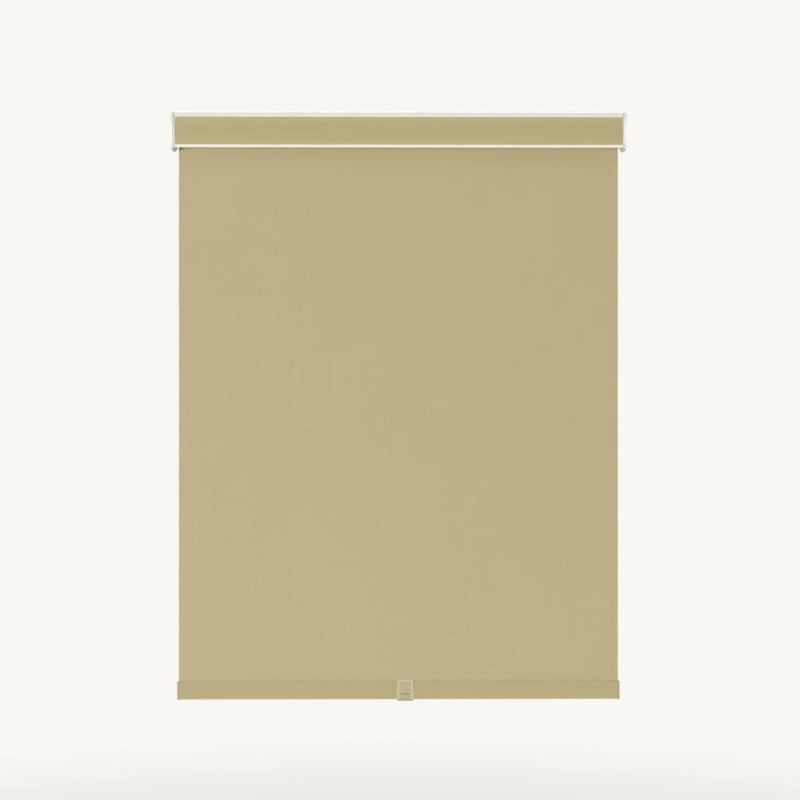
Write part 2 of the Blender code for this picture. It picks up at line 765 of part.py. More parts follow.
def make_hem_bar():
    centre = (SHEET_Y, HEM_CENTRE_Z)
    depth, height = HEM_DEPTH, HEM_HEIGHT
    radius = 4.5 * MM
    skin = WRAP_THICKNESS
    wrap = [
        rounded_rectangle(centre, depth, height, radius),
        rounded_rectangle(centre, depth - 2 * skin, height - 2 * skin, radius - skin),
    ]
    extruded("hem_fabric_wrap", wrap, -TUBE_END_X, TUBE_END_X, fabric)

    inset = skin + FIT
    rim = rounded_rectangle(centre, depth - 2 * inset, height - 2 * inset, radius - inset)
    # The spline channel opens at the top of the bar, between the first two corners.
    top_z = HEM_TOP_Z - inset
    mouth, channel = 0.9 * MM, 2.1 * MM
    mouth_z, floor_z = top_z - 1.4 * MM, top_z - 4.6 * MM
    slot = [
        (SHEET_Y + mouth, top_z),
        (SHEET_Y + mouth, mouth_z),
        (SHEET_Y + channel, mouth_z),
        (SHEET_Y + channel, floor_z),
        (SHEET_Y - channel, floor_z),
        (SHEET_Y - channel, mouth_z),
        (SHEET_Y - mouth, mouth_z),
        (SHEET_Y - mouth, top_z),
    ]
    corner = len(rim) // 4
    outline = [p for p in rim[:corner] if p[0] > SHEET_Y + mouth]
    outline += slot
    outline += [p for p in rim[corner:] if p[1] < top_z or p[0] < SHEET_Y - mouth]
    hollow_top, hollow_bottom = floor_z - 1.2 * MM, HEM_BOTTOM_Z + inset + 1.2 * MM
    hollow_centre = (SHEET_Y, (hollow_top + hollow_bottom) / 2)
    hollow = rounded_rectangle(hollow_centre, 5.4 * MM, hollow_top - hollow_bottom, 2.4 * MM, 4)
    extruded("hem_bar", [outline, hollow], -TUBE_END_X, TUBE_END_X, aluminium)

    half = channel - 0.4 * MM
    low, high = floor_z + 0.4 * MM, mouth_z - 0.4 * MM
    strip = [(SHEET_Y - half, low), (SHEET_Y + half, low), (SHEET_Y + half, high), (SHEET_Y - half, high)]
    end_x = TUBE_END_X - MM
    extruded("hem_spline", [strip], -end_x, end_x, nylon)

    tenon = rounded_rectangle(hollow_centre, 4.6 * MM, hollow_top - hollow_bottom - 1.2 * MM, 2 * MM, 3)
    for name, side in (("left_hem_cap", -1), ("right_hem_cap", 1)):
        face_x, outer_x = side * (TUBE_END_X + FIT), side * (TUBE_END_X + 2.8 * MM)
        rim = rounded_rectangle(centre, depth + 0.8 * MM, height + 0.8 * MM, radius + 0.4 * MM)
        cap = extruded(name, [rim], face_x, outer_x, tan_plastic)
        soften(cap, CAP_ROUNDING)
        tenon_end_x = side * (TUBE_END_X - 12 * MM)
        joint = extruded(name + "_tenon", [tenon], tenon_end_x, face_x + side * MM, tan_plastic, cutters)
        combine(cap, joint, "UNION")


def make_pull_handle():
    """The clear pull that clips under the hem bar, a little narrower at its top than at its bottom."""
    gap, wall = 0.4 * MM, 2.2 * MM
    front_y = SHEET_Y - HEM_DEPTH / 2 - gap
    back_y = SHEET_Y + HEM_DEPTH / 2 + gap
    face_y, rear_y = front_y - wall, back_y + wall
    top_z, clip_z = HEM_TOP_Z + 4.5 * MM, HEM_BOTTOM_Z + 20 * MM
    seat_z, bottom_z = HEM_BOTTOM_Z - gap, HEM_BOTTOM_Z - 2 * MM
    outline = [
        (face_y, bottom_z + MM),
        (face_y + MM, bottom_z),
        (rear_y - MM, bottom_z),
        (rear_y, bottom_z + MM),
        (rear_y, clip_z),
        (back_y, clip_z),
        (back_y, seat_z),
        (front_y, seat_z),
        (front_y, top_z),
        (face_y, top_z),
    ]
    half_bottom, half_top = 17 * MM, 15.5 * MM
    handle = extruded(
        "pull_handle", [outline], HANDLE_X - half_bottom, HANDLE_X + half_bottom, clear_plastic
    )

    rim, half_panel = 3.6 * MM, 11.8 * MM
    panel = block(
        "handle_panel",
        (HANDLE_X - half_panel, face_y - MM, bottom_z + rim),
        (HANDLE_X + half_panel, face_y + 0.7 * MM, top_z - rim),
        None,
        cutters,
    )
    combine(handle, panel, "DIFFERENCE")

    ledge_z, half_ledge = HEM_BOTTOM_Z + 18.5 * MM, 11 * MM
    ledge_outline = [
        (face_y + 1.5 * MM, ledge_z),
        (face_y - 3.6 * MM, ledge_z - 0.6 * MM),
        (face_y - 5.2 * MM, ledge_z - 2.4 * MM),
        (face_y - 4.6 * MM, ledge_z - 3.2 * MM),
        (face_y - 3 * MM, ledge_z - 2.2 * MM),
        (face_y + 1.5 * MM, ledge_z - 1.9 * MM),
    ]
    ledge = extruded(
        "handle_ledge", [ledge_outline], HANDLE_X - half_ledge, HANDLE_X + half_ledge, clear_plastic, cutters
    )
    combine(handle, ledge, "UNION")

    corner = 3 * MM
    front_shape = (
        arc((half_top - corner, top_z - corner), corner, 0, 90, 4)
        + arc((corner - half_top, top_z - corner), corner, 90, 180, 4)
        + arc((corner - half_bottom, bottom_z + corner), corner, 180, 270, 4)
        + arc((half_bottom - corner, bottom_z + corner), corner, 270, 360, 4)
    )
    facing = Matrix(((1, 0, 0, HANDLE_X), (0, 0, -1, SHEET_Y), (0, 1, 0, 0), (0, 0, 0, 1)))
    mesh = mesh_from_curve(flat_curve([front_shape], 60 * MM), facing)
    combine(handle, add_object("handle_front_shape", mesh, cutters), "INTERSECT")


clear_scene()
parts = new_collection("roller_blind")
cutters = new_collection("cutters")

white_metal = make_material("white_metal", (0.84, 0.83, 0.81), 0.35)
white_aluminium = make_material("white_aluminium", (0.84, 0.83, 0.81), 0.35)
white_plastic = make_material("white_plastic", (0.86, 0.85, 0.83), 0.45)
fabric = make_material("fabric", (0.51, 0.43, 0.25), 0.9)
tan_plastic = make_material("tan_plastic", (0.47, 0.39, 0.21), 0.5)
clear_plastic = make_material("clear_plastic", (0.95, 0.93, 0.85), 0.1, alpha=0.35)
nylon = make_material("nylon", (0.75, 0.74, 0.7), 0.5)
aluminium = make_material("aluminium", (0.75, 0.76, 0.78), 0.4, 1.0)
steel = make_material("steel", (0.6, 0.61, 0.62), 0.35, 1.0)

make_cassette()
for side_name, side in (("left", -1), ("right", 1)):
    make_end_cap(f"{side_name}_end_cap", side)
    make_cap_screws(f"{side_name}_cap_screw", side)
    make_bracket(f"{side_name}_bracket", side * BRACKET_X)
    make_latch(f"{side_name}_latch", side * BRACKET_X)
    make_latch_spring(f"{side_name}_latch_spring", side * BRACKET_X)
bush_hole = circle((0, AXIS_Z), 5.3 * MM, 20)
spade_slot = rounded_rectangle((0, AXIS_Z), 8.6 * MM, 3.6 * MM, 0.2 * MM, 1)
make_end_plate("idle_end_plate", -1, bush_hole)
make_end_plate("spring_end_plate", 1, spade_slot)
make_tube()
make_fabric()
make_idle_end()
make_spring_head()
make_crown_and_brake()
make_spring_drive()
make_hem_bar()
make_pull_handle()
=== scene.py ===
"""Looks of the cordless roller blind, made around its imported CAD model.

Frame: +X to the right, +Y away from the room, +Z up, in metres, as in the CAD model.
"""

import math

import bmesh
import bpy
from mathutils import Matrix, Vector, noise


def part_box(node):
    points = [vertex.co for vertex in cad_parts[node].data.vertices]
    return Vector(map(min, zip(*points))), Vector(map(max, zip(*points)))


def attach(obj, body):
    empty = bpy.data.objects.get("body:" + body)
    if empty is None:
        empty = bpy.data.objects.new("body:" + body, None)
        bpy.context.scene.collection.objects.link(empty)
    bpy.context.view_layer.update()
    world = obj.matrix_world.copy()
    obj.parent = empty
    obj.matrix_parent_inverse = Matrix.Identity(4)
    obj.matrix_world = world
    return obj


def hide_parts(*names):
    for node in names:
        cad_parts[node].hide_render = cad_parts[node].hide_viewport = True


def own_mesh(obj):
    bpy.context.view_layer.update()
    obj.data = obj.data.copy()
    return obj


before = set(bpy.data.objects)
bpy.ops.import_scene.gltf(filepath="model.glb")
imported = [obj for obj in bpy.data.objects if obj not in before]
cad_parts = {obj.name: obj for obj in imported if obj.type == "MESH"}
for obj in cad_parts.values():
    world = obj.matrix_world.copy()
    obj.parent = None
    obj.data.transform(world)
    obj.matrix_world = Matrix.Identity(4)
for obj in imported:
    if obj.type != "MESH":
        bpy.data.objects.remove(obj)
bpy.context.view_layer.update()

MM = 0.001
TURN = 2 * math.pi
SIDES = (("left", -1), ("right", 1))


def in_mm(*places):
    """These places, given in millimetres, in metres."""
    return [tuple(value * MM for value in place) for place in places]


# Places read from the frame
CAP_INNER_X, HALF_WIDTH = (corner[0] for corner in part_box("right_end_cap"))
PLATE_INNER_X, PLATE_OUTER_X = (corner[0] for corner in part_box("spring_end_plate"))
RAIL_END_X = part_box("cassette_rail")[1][0]
INSERT_END_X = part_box("fascia_insert")[1][0]
FLANGE_OUTER_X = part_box("bearing_crown")[1][0]
RAIL_BOTTOM_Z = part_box("cassette_rail")[0][2]
TUBE_LOW, TUBE_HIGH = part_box("roller_tube")
TUBE_END_X = TUBE_HIGH[0]
AXIS_Z = (TUBE_LOW[2] + TUBE_HIGH[2]) / 2
AXIS = (0, AXIS_Z)
TUBE_RADIUS = (TUBE_HIGH[1] - TUBE_LOW[1]) / 2
ROLL_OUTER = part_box("fabric_roll")[1][1]
SHEET_LOW, SHEET_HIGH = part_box("shade_fabric")
SHEET_Y = (SHEET_LOW[1] + SHEET_HIGH[1]) / 2
SHEET_THICKNESS = SHEET_HIGH[1] - SHEET_LOW[1]
HEM_LOW, HEM_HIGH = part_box("hem_fabric_wrap")
HEM_TOP_Z, HEM_BOTTOM_Z = HEM_HIGH[2], HEM_LOW[2]
HEM_DEPTH = HEM_HIGH[1] - HEM_LOW[1]
HANDLE_LOW, HANDLE_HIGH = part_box("pull_handle")
HANDLE_X = (HANDLE_LOW[0] + HANDLE_HIGH[0]) / 2
BRACKET_HALF = 14 * MM
BRACKET_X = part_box("right_bracket")[0][0] + BRACKET_HALF

# Cassette section, as in the CAD model
FIT = 0.3 * MM
RAIL_TOP_Z = -5 * MM
ARC_CENTRE = ARC_Y, ARC_Z = -8.4 * MM, -41 * MM
LIP_RADIUS, SLOT_OUTER, SLOT_INNER, WALL_INNER = 41 * MM, 39.7 * MM, 38.3 * MM, 37 * MM
UPPER_LIP, UPPER_SLOT, LOWER_LIP, LOWER_SLOT = 27 * MM, 30 * MM, 29.6 * MM, 30.8 * MM
TOP_WALL = 1.4 * MM
REAR_Y = 34 * MM
SCREW_PORTS = in_mm((-24.5, -10.3), (26.5, -10.3), (-29, -71))
SCREW_SEAT = 2.2 * MM


# Outlines

def arc(centre, radius, start, end, steps):
    """Points on an arc from start to end, in degrees, both ends included."""
    angles = [math.radians(start + (end - start) * i / steps) for i in range(steps + 1)]
    return [(centre[0] + radius * math.cos(a), centre[1] + radius * math.sin(a)) for a in angles]


def circle(centre, radius, steps=48):
    return arc(centre, radius, 0, 360, steps)[:-1]


def rounded(outline, radius, steps=4):
    """A closed outline with its sharp corners rounded. Its arcs are left as they are."""
    points = []
    for i, place in enumerate(outline):
        corner = Vector(place)
        back = Vector(outline[i - 1]) - corner
        ahead = Vector(outline[(i + 1) % len(outline)]) - corner
        turn = math.pi - back.angle(ahead, math.pi)
        if turn < math.radians(24):
            points.append(tuple(corner))
            continue
        reach = min(radius * math.tan(turn / 2), 0.45 * back.length, 0.45 * ahead.length)
        start, end = corner + back.normalized() * reach, corner + ahead.normalized() * reach
        for step in range(steps + 1):
            t = step / steps
            points.append(tuple(start.lerp(corner, t).lerp(corner.lerp(end, t), t)))
    return points


def rectangle(low, high):
    return [low, (high[0], low[1]), high, (low[0], high[1])]


def rounded_rectangle(centre, width, height, radius, steps=8):
    """Width is along the outline's first axis."""
    points = []
    for quarter, (side, end) in enumerate(((1, 1), (-1, 1), (-1, -1), (1, -1))):
        corner = (centre[0] + side * (width / 2 - radius), centre[1] + end * (height / 2 - radius))
        points += arc(corner, radius, 90 * quarter, 90 * quarter + 90, steps)
    return points


def smooth_path(points):
    """A Catmull-Rom curve through the points."""
    steps = 6
    vectors = [Vector(p) for p in points]
    vectors = [2 * vectors[0] - vectors[1], *vectors, 2 * vectors[-1] - vectors[-2]]
    path = []
    for a, b, c, d in zip(vectors, vectors[1:], vectors[2:], vectors[3:]):
        for step in range(steps):
            t = step / steps
            bend = 2 * a - 5 * b + 4 * c - d
            twist = 3 * b - a - 3 * c + d
            path.append(0.5 * (2 * b + (c - a) * t + bend * t**2 + twist * t**3))
    return [tuple(p) for p in [*path, vectors[-2]]]


def ribbon(path, thickness):
    """The closed outline of a strip of this thickness, laid to the left of the path."""
    inner = []
    for i, place in enumerate(path):
        ahead = Vector(path[min(i + 1, len(path) - 1)]) - Vector(path[max(i - 1, 0)])
        left = Vector((-ahead.y, ahead.x)).normalized()
        inner.append(tuple(Vector(place) + left * thickness))
    return list(path) + inner[::-1]


def coil_points(start, end, radius, turns):
    """Points of a coil, closer at its ends, about the line from start to end, along X or Y."""
    start, end = Vector(start), Vector(end)
    along = (end - start).normalized()
    side = Vector((0, 0, 1))
    other = along.cross(side)
    crowding = 0.35  # how much closer the end turns lie than the middle ones
    per_turn = 24
    count = round(turns * per_turn)
    points = []
    for i in range(count + 1):
        share = i / count
        angle = TURN * i / per_turn
        around = side * math.cos(angle) + other * math.sin(angle)
        closed = share - math.sin(TURN * share) / TURN * crowding
        points.append(start.lerp(end, closed) + around * radius)
    return points


def arc_angle(radius, height):
    """The angle, in degrees, at which a front arc of this radius is height above its centre."""
    return (180 - math.degrees(math.asin(height / radius))) % 360


def fillet_on_arc(line_z, radius, outer_radius):
    """Centre of a fillet between the front arc and a level line, and its angle seen from the arc."""
    inward = -1 if line_z > ARC_Z else 1
    z = line_z + inward * radius
    y = ARC_Y - math.sqrt((outer_radius - radius) ** 2 - (z - ARC_Z) ** 2)
    angle = math.degrees(math.atan2(z - ARC_Z, y - ARC_Y)) % 360
    return (y, z), angle


def end_silhouette(inset):
    """The end cap's outline, seen from the side, drawn in by inset."""
    outer = 42 * MM
    top_z, bottom_z, rear_y = -4.2 * MM, -77.6 * MM, 36.3 * MM
    top_fillet, bottom_fillet, rear_top, rear_bottom = 6.6 * MM, 5 * MM, 4 * MM, 16 * MM
    top, top_angle = fillet_on_arc(top_z, top_fillet, outer)
    bottom, bottom_angle = fillet_on_arc(bottom_z, bottom_fillet, outer)
    upper_corner = (rear_y - rear_top, top_z - rear_top)
    lower_corner = (rear_y - rear_bottom, bottom_z + rear_bottom)
    return (
        arc(top, top_fillet - inset, 90, top_angle, 12)
        + arc(ARC_CENTRE, outer - inset, top_angle, bottom_angle, 48)[1:]
        + arc(bottom, bottom_fillet - inset, bottom_angle, 270, 12)[1:]
        + arc(lower_corner, rear_bottom - inset, -90, 0, 20)
        + arc(upper_corner, rear_top - inset, 0, 90, 12)
    )


# Meshes

# An outline lies sideways, as (y, z) drawn along X, or faces the front, as (x, z) drawn along Y.
SIDEWAYS = Vector((1, 0, 0)), Matrix(((0, 0, 1), (1, 0, 0), (0, 1, 0))).to_4x4()
FRONT = Vector((0, 1, 0)), Matrix(((1, 0, 0), (0, 0, -1), (0, 1, 0))).to_4x4()


def new_object(name, mesh):
    obj = bpy.data.objects.new(name, mesh)
    bpy.context.scene.collection.objects.link(obj)
    return obj


def smooth(mesh):
    """Smooth shading, except where the surface turns sharply."""
    mesh.shade_smooth()
    mesh.set_sharp_from_angle(angle=math.radians(35))


def mesh_object(name, body):
    """An object from a bmesh, which is used up."""
    bmesh.ops.remove_doubles(body, verts=body.verts, dist=0.002 * MM)
    bmesh.ops.recalc_face_normals(body, faces=body.faces)
    mesh = bpy.data.meshes.new(name)
    body.to_mesh(mesh)
    body.free()
    smooth(mesh)
    return new_object(name, mesh)


def bake(obj):
    """Puts the modifiers' result into the mesh."""
    bpy.context.view_layer.update()
    evaluated = obj.evaluated_get(bpy.context.evaluated_depsgraph_get())
    mesh = bpy.data.meshes.new_from_object(evaluated)
    obj.modifiers.clear()
    obj.data = mesh


def freeze(obj):
    """Puts the modifiers' result into the mesh, and marks its sharp edges again."""
    bake(obj)
    smooth(obj.data)
    return obj


def curve_body(loops, closed, **settings):
    """A bmesh of the surface of a curve through these loops of points."""
    curve = bpy.data.curves.new("guide", "CURVE")
    for name, value in settings.items():
        setattr(curve, name, value)
    for loop in loops:
        spline = curve.splines.new("POLY")
        spline.points.add(len(loop) - 1)
        for point, place in zip(spline.points, loop):
            point.co = (*place, 1)
        spline.use_cyclic_u = closed
    holder = new_object("guide", curve)
    mesh = holder.evaluated_get(bpy.context.evaluated_depsgraph_get()).to_mesh()
    body = bmesh.new()
    body.from_mesh(mesh)
    bpy.data.objects.remove(holder)
    return body


def prism(name, loops, start, end, facing=SIDEWAYS):
    """A filled outline drawn out from start to end. The first loop is the rim, the others holes."""
    flat = [[(*place, 0) for place in loop] for loop in loops]
    body = curve_body(flat, True, dimensions="2D", fill_mode="BOTH", extrude=abs(end - start) / 2)
    along, plane = facing
    body.transform(Matrix.Translation(along * (start + end) / 2) @ plane)
    return mesh_object(name, body)


def loft(name, rings):
    """A closed solid through rings of points that match one to one, with flat ends."""
    body = bmesh.new()
    rows = [[body.verts.new(point) for point in ring] for ring in rings]
    for row, following in zip(rows, rows[1:]):
        for i in range(len(row)):
            j = (i + 1) % len(row)
            body.faces.new((row[i], row[j], following[j], following[i]))
    body.faces.new(rows[0][::-1])
    body.faces.new(rows[-1])
    return mesh_object(name, body)


def laid_cloth(name, section, half_width, stations, placed):
    """Cloth laid across the blind. Each point of its section goes where placed(x, y, z) says."""
    rings = []
    for i in range(stations + 1):
        x = half_width * (2 * i / stations - 1)
        rings.append([placed(x, y, z) for y, z in section])
    return loft(name, rings)


def turned(name, outside, bore=None, centre=AXIS, sides=64, rounding=0.3 * MM):
    """A solid turned about a line along X. Its outside and its bore are (radius, start, end) steps,
    or (radius, place) where one step slopes to the next. Without a bore it is solid."""
    outer = [(radius, x) for radius, *ends in outside for x in ends]
    bore = bore or [(0, outer[0][1], outer[-1][1])]
    inner = [(radius, x) for radius, *ends in bore for x in ends]
    profile = [inner[0], *outer, *inner[:0:-1]]
    body = bmesh.new()
    rings = []
    for radius, x in rounded(profile, rounding, 3) if rounding else profile:
        if radius < 0.001 * MM:
            ring = [body.verts.new((x, *centre))] * sides
        else:
            ring = [body.verts.new((x, *place)) for place in circle(centre, radius, sides)]
        rings.append(ring)
    for ring, following in zip(rings, rings[1:] + rings[:1]):
        for i in range(sides):
            j = (i + 1) % sides
            # On the axis a ring is one vertex, so a face there is a triangle, or none.
            corners = list(dict.fromkeys((ring[i], ring[j], following[j], following[i])))
            if len(corners) > 2:
                body.faces.new(corners)
    return mesh_object(name, body)


def block(name, low, high):
    body = bmesh.new()
    size = Vector(high) - Vector(low)
    place = Matrix.Translation((Vector(high) + Vector(low)) / 2) @ Matrix.Diagonal((*size, 1))
    bmesh.ops.create_cube(body, size=1, matrix=place)
    return mesh_object(name, body)


def combine(obj, others, operation="DIFFERENCE"):
    """Cuts other solids out of this one, joins them to it, or keeps what they share."""
    for other in others:
        modifier = obj.modifiers.new("Combine", "BOOLEAN")
        modifier.operation = operation
        modifier.solver = "EXACT"
        modifier.object = other
    freeze(obj)
    for other in others:
        bpy.data.objects.remove(other)
    return obj


def soften(obj, width, segments=3, angle=50):
    """Rounds the edges that turn by more than this angle."""
    bevel = obj.modifiers.new("Round", "BEVEL")
    bevel.width = width
    bevel.segments = segments
    bevel.limit_method = "ANGLE"
    bevel.angle_limit = math.radians(angle)
    return freeze(obj)


def wire(name, points, radius):
    """A round wire through these points, with closed ends."""
    shape = {"dimensions": "3D", "bevel_depth": radius, "bevel_resolution": 3, "use_fill_caps": True}
    return mesh_object(name, curve_body([points], False, **shape))


def wavy(place, scale, seed):
    """Smooth noise from -1 to 1 at this place, with waves of about this size."""
    return noise.noise(Vector(place) / scale + Vector((seed, 7.3 * seed, -3.1 * seed)))


# Materials

class Finish:
    """A material on one Principled BSDF, and short calls that add nodes to it."""

    def __init__(self, name, slot, colour, roughness, metallic=0.0):
        self.slot = slot
        self.material = bpy.data.materials.new(name)
        self.material.use_nodes = True
        self.tree = self.material.node_tree
        self.shader = self.tree.nodes["Principled BSDF"]
        self.set(Base_Color=(*colour, 1), Roughness=roughness, Metallic=metallic)
        self.place = self.add("ShaderNodeTexCoord").outputs["Object"]

    def fill(self, node, sockets):
        """Gives each named or numbered socket its value, which may be another node's output."""
        for name, value in sockets.items():
            socket = node.inputs[int(name[1:]) if name[1:].isdigit() else name.replace("_", " ")]
            if isinstance(value, bpy.types.NodeSocket):
                self.tree.links.new(value, socket)
            else:
                socket.default_value = value

    def set(self, **sockets):
        self.fill(self.shader, sockets)

    def add(self, kind, settings=None, **sockets):
        node = self.tree.nodes.new(kind)
        for name, value in (settings or {}).items():
            setattr(node, name, value)
        self.fill(node, sockets)
        return node

    def math(self, operation, first, second=0.0):
        return self.add("ShaderNodeMath", {"operation": operation}, _0=first, _1=second).outputs[0]

    def noise(self, scale, detail=2.0, stretch=(1, 1, 1)):
        """Noise from 0 to 1. Scale is in waves per metre, and stretch multiplies it along each axis."""
        moved = self.add("ShaderNodeMapping", Vector=self.place, Scale=stretch).outputs[0]
        return self.add("ShaderNodeTexNoise", Vector=moved, Scale=scale, Detail=detail).outputs["Fac"]

    def between(self, value, low, high, start=0.3, end=0.7):
        """Maps a value that runs from start to end onto low to high."""
        return self.add("ShaderNodeMapRange", _0=value, _1=start, _2=end, _3=low, _4=high).outputs[0]

    def blend(self, amount, first, second):
        """A colour from first to second, as amount goes from 0 to 1."""
        first, second = (c if isinstance(c, bpy.types.NodeSocket) else (*c, 1) for c in (first, second))
        mix = self.add("ShaderNodeMix", {"data_type": "RGBA"}, _0=amount, _6=first, _7=second)
        return mix.outputs[2]

    def relief(self, *layers):
        """Bumps from (height output, depth in metres) pairs, one over the other."""
        below = {}
        for height, depth in layers:
            bump = self.add("ShaderNodeBump", Height=height, Distance=depth, **below)
            below = {"Normal": bump.outputs["Normal"]}
        self.set(**below)


def shade(colour, factor):
    return tuple(channel * factor for channel in colour)


WEAVE_PITCH = 0.62 * MM
PANEL_HALF, PULL_RIM = 11.9 * MM, 3.4 * MM  # half width of the pull's sunk panel, and the rim around it
LEDGE_Z, HALF_LEDGE = HEM_BOTTOM_Z + 18.5 * MM, 11 * MM


def fabric_finish(name, colour, wound=False):
    """Plain-woven polyester with slubs. On wound fabric the weft runs round the roller."""
    finish = Finish(name, "fabric", colour, 0.88)
    axes = finish.add("ShaderNodeSeparateXYZ", _0=finish.place).outputs
    across, along = axes["X"], axes["Z"]
    if wound:
        up = finish.math("SUBTRACT", axes["Z"], AXIS_Z)
        along = finish.math("MULTIPLY", finish.math("ARCTAN2", up, axes["Y"]), TUBE_RADIUS)
    phases = [finish.math("MULTIPLY", axis, math.pi / WEAVE_PITCH) for axis in (across, along)]
    warp, weft = (finish.math("COSINE", phase) for phase in phases)
    over = finish.math("MULTIPLY", warp, weft)
    lifts = [
        finish.math("MULTIPLY", finish.math("ABSOLUTE", yarn), finish.between(over, low, high, -1, 1))
        for yarn, low, high in ((warp, 0.45, 1.0), (weft, 1.0, 0.45))
    ]
    weave = finish.math("MAXIMUM", *lifts)
    slubs = finish.noise(1.0, 3, (14, 14, 1100))
    streaks = finish.noise(1.0, 3, (900, 900, 9))
    clouds = finish.noise(5.0)
    # Painted shade and light in the weave: the gaps between yarns are darker and the yarn tops lighter.
    yarn = finish.blend(finish.between(weave, 0, 1, 0.35, 0.95), shade(colour, 0.8), shade(colour, 1.08))
    uneven = finish.math("ADD", finish.between(slubs, 0, 0.5), finish.between(streaks, 0, 0.5))
    thread = finish.blend(uneven, shade(colour, 0.93), shade(colour, 1.06))
    mixed = finish.blend(0.5, yarn, thread)
    finish.set(Base_Color=finish.blend(finish.between(clouds, 0, 0.12), mixed, shade(colour, 0.9)))
    finish.set(Roughness=finish.between(weave, 0.96, 0.82))
    finish.set(Diffuse_Roughness=1.0, Sheen_Weight=0.12, Sheen_Roughness=0.5, Specular_IOR_Level=0.25)
    finish.relief((weave, 0.1 * MM), (slubs, 0.12 * MM), (streaks, 0.08 * MM))
    return finish


def coated_finish(name, slot, colour, roughness, grain, depth=0.03 * MM):
    """Powder coat or moulded plastic: a fine grain, and slightly uneven gloss."""
    finish = Finish(name, slot, colour, roughness)
    clouds = finish.noise(18, 3)
    peel = finish.noise(grain)
    tone = finish.blend(finish.between(clouds, 0, 1), shade(colour, 0.985), shade(colour, 1.015))
    finish.set(Base_Color=tone)
    uneven = finish.math("ADD", finish.between(peel, -0.05, 0.05), finish.between(clouds, -0.04, 0.04))
    finish.set(Roughness=finish.math("ADD", uneven, roughness))
    finish.relief((peel, depth))
    return finish


def metal_finish(name, slot, colour, roughness, streak_scale, stretch=(1, 1, 1)):
    """Bare metal with fine streaks."""
    finish = Finish(name, slot, colour, roughness, 1.0)
    streaks = finish.noise(streak_scale, 4, stretch)
    clouds = finish.noise(60, 3)
    tone = finish.math("ADD", finish.between(streaks, 0, 0.6), finish.between(clouds, 0, 0.4))
    finish.set(Base_Color=finish.blend(tone, shade(colour, 0.88), shade(colour, 1.08)))
    finish.set(Roughness=finish.between(tone, roughness - 0.09, roughness + 0.1, 0, 1))
    finish.relief((streaks, 0.01 * MM))
    return finish


def clear_finish(colour, shadow):
    """Clear polycarbonate: denser in its rim and ledge, with painted shade at its foot and under the ledge.
    """
    finish = Finish("clear_polycarbonate", "clear_plastic", colour, 0.12)
    facing = finish.add("ShaderNodeLayerWeight", Blend=0.5).outputs["Facing"]
    scuffs = finish.noise(240, 3)
    axes = finish.add("ShaderNodeSeparateXYZ", _0=finish.place).outputs

    def outside(axis, middle, half, soft=0.4 * MM):
        """0 within half of middle along this axis, 1 beyond it."""
        away = finish.math("ABSOLUTE", finish.math("SUBTRACT", axes[axis], middle))
        return finish.between(away, 0, 1, half - soft, half + soft)

    def patch(high_z, low_z):
        """1 on the front plate's ledge, or in a patch under it, between two heights."""
        beyond = outside("Z", (high_z + low_z) / 2, (high_z - low_z) / 2)
        beyond = finish.math("MAXIMUM", outside("X", HANDLE_X, HALF_LEDGE), beyond)
        beyond = finish.math("MAXIMUM", finish.math("GREATER_THAN", axes["Y"], SHEET_Y), beyond)
        return finish.math("SUBTRACT", 1.0, beyond)

    low_z, high_z = HANDLE_LOW[2], HANDLE_HIGH[2]
    beside = outside("X", HANDLE_X, PANEL_HALF)
    beyond = outside("Z", (low_z + high_z) / 2, (high_z - low_z) / 2 - PULL_RIM)
    rim = finish.math("MAXIMUM", beside, beyond)
    ledge = patch(LEDGE_Z, LEDGE_Z - 3.2 * MM)
    # Painted shade: a band under the ledge that stands in for the ledge's shadow.
    under = patch(LEDGE_Z - 3.6 * MM, LEDGE_Z - 8.4 * MM)
    # Painted shade along the pull's foot, where its bottom edge is in shade.
    foot = finish.between(axes["Z"], 1, 0, low_z + 1.4 * MM, low_z + 2.4 * MM)
    density = finish.between(rim, 0.07, 0.24, 0, 1)
    for mask, share in ((ledge, 0.3), (under, 0.1), (foot, 0.95)):
        density = finish.math("MAXIMUM", density, finish.math("MULTIPLY", mask, share))
    finish.set(Alpha=finish.math("ADD", density, finish.between(facing, 0, 0.5, 0.15, 0.9)))
    finish.set(Roughness=finish.between(scuffs, 0.08, 0.2))
    clear = finish.blend(finish.between(scuffs, 0, 1), shade(colour, 0.98), shade(colour, 1.01))
    # The shadow colour is painted shade, laid under the ledge and along the foot.
    finish.set(Base_Color=finish.blend(finish.math("MAXIMUM", under, foot), clear, shadow))
    finish.relief((scuffs, 0.01 * MM))
    return finish


WEAVE = (0.508, 0.441, 0.242)
PAINTED_BACKLIT_WEAVE = (0.53, 0.463, 0.28)  # the same weave made lighter: painted light for daylight shining through one layer
WHITE = (0.905, 0.895, 0.87)

woven = fabric_finish("woven_polyester", WEAVE)
sheet_woven = fabric_finish("woven_single_layer", PAINTED_BACKLIT_WEAVE)
sheet_woven.set(Subsurface_Weight=0.5, Subsurface_Radius=(1, 1, 1), Subsurface_Scale=0.5 * MM)
# The wound roll takes the same lightened colour, painted backlight included.
wound_woven = fabric_finish("woven_on_roller", PAINTED_BACKLIT_WEAVE, wound=True)
rail_paint = coated_finish("powder_coat", "white_aluminium", WHITE, 0.36, 700)
steel_paint = coated_finish("painted_steel", "white_metal", WHITE, 0.4, 700)
moulded_white = coated_finish("moulded_white", "white_plastic", (0.88, 0.875, 0.84), 0.48, 1900)
moulded_tan = coated_finish("moulded_tan", "tan_plastic", (0.38, 0.32, 0.17), 0.5, 1900)
natural_nylon = coated_finish("natural_nylon", "nylon", (0.74, 0.73, 0.67), 0.46, 1200, 0.02 * MM)
mill_aluminium = metal_finish("mill_aluminium", "aluminium", (0.75, 0.76, 0.78), 0.38, 1, (4, 1400, 1400))
zinc_steel = metal_finish("zinc_steel", "steel", (0.62, 0.63, 0.65), 0.33, 420)
clear_polycarbonate = clear_finish((0.93, 0.90, 0.74), (0.30, 0.28, 0.17))


# Pieces

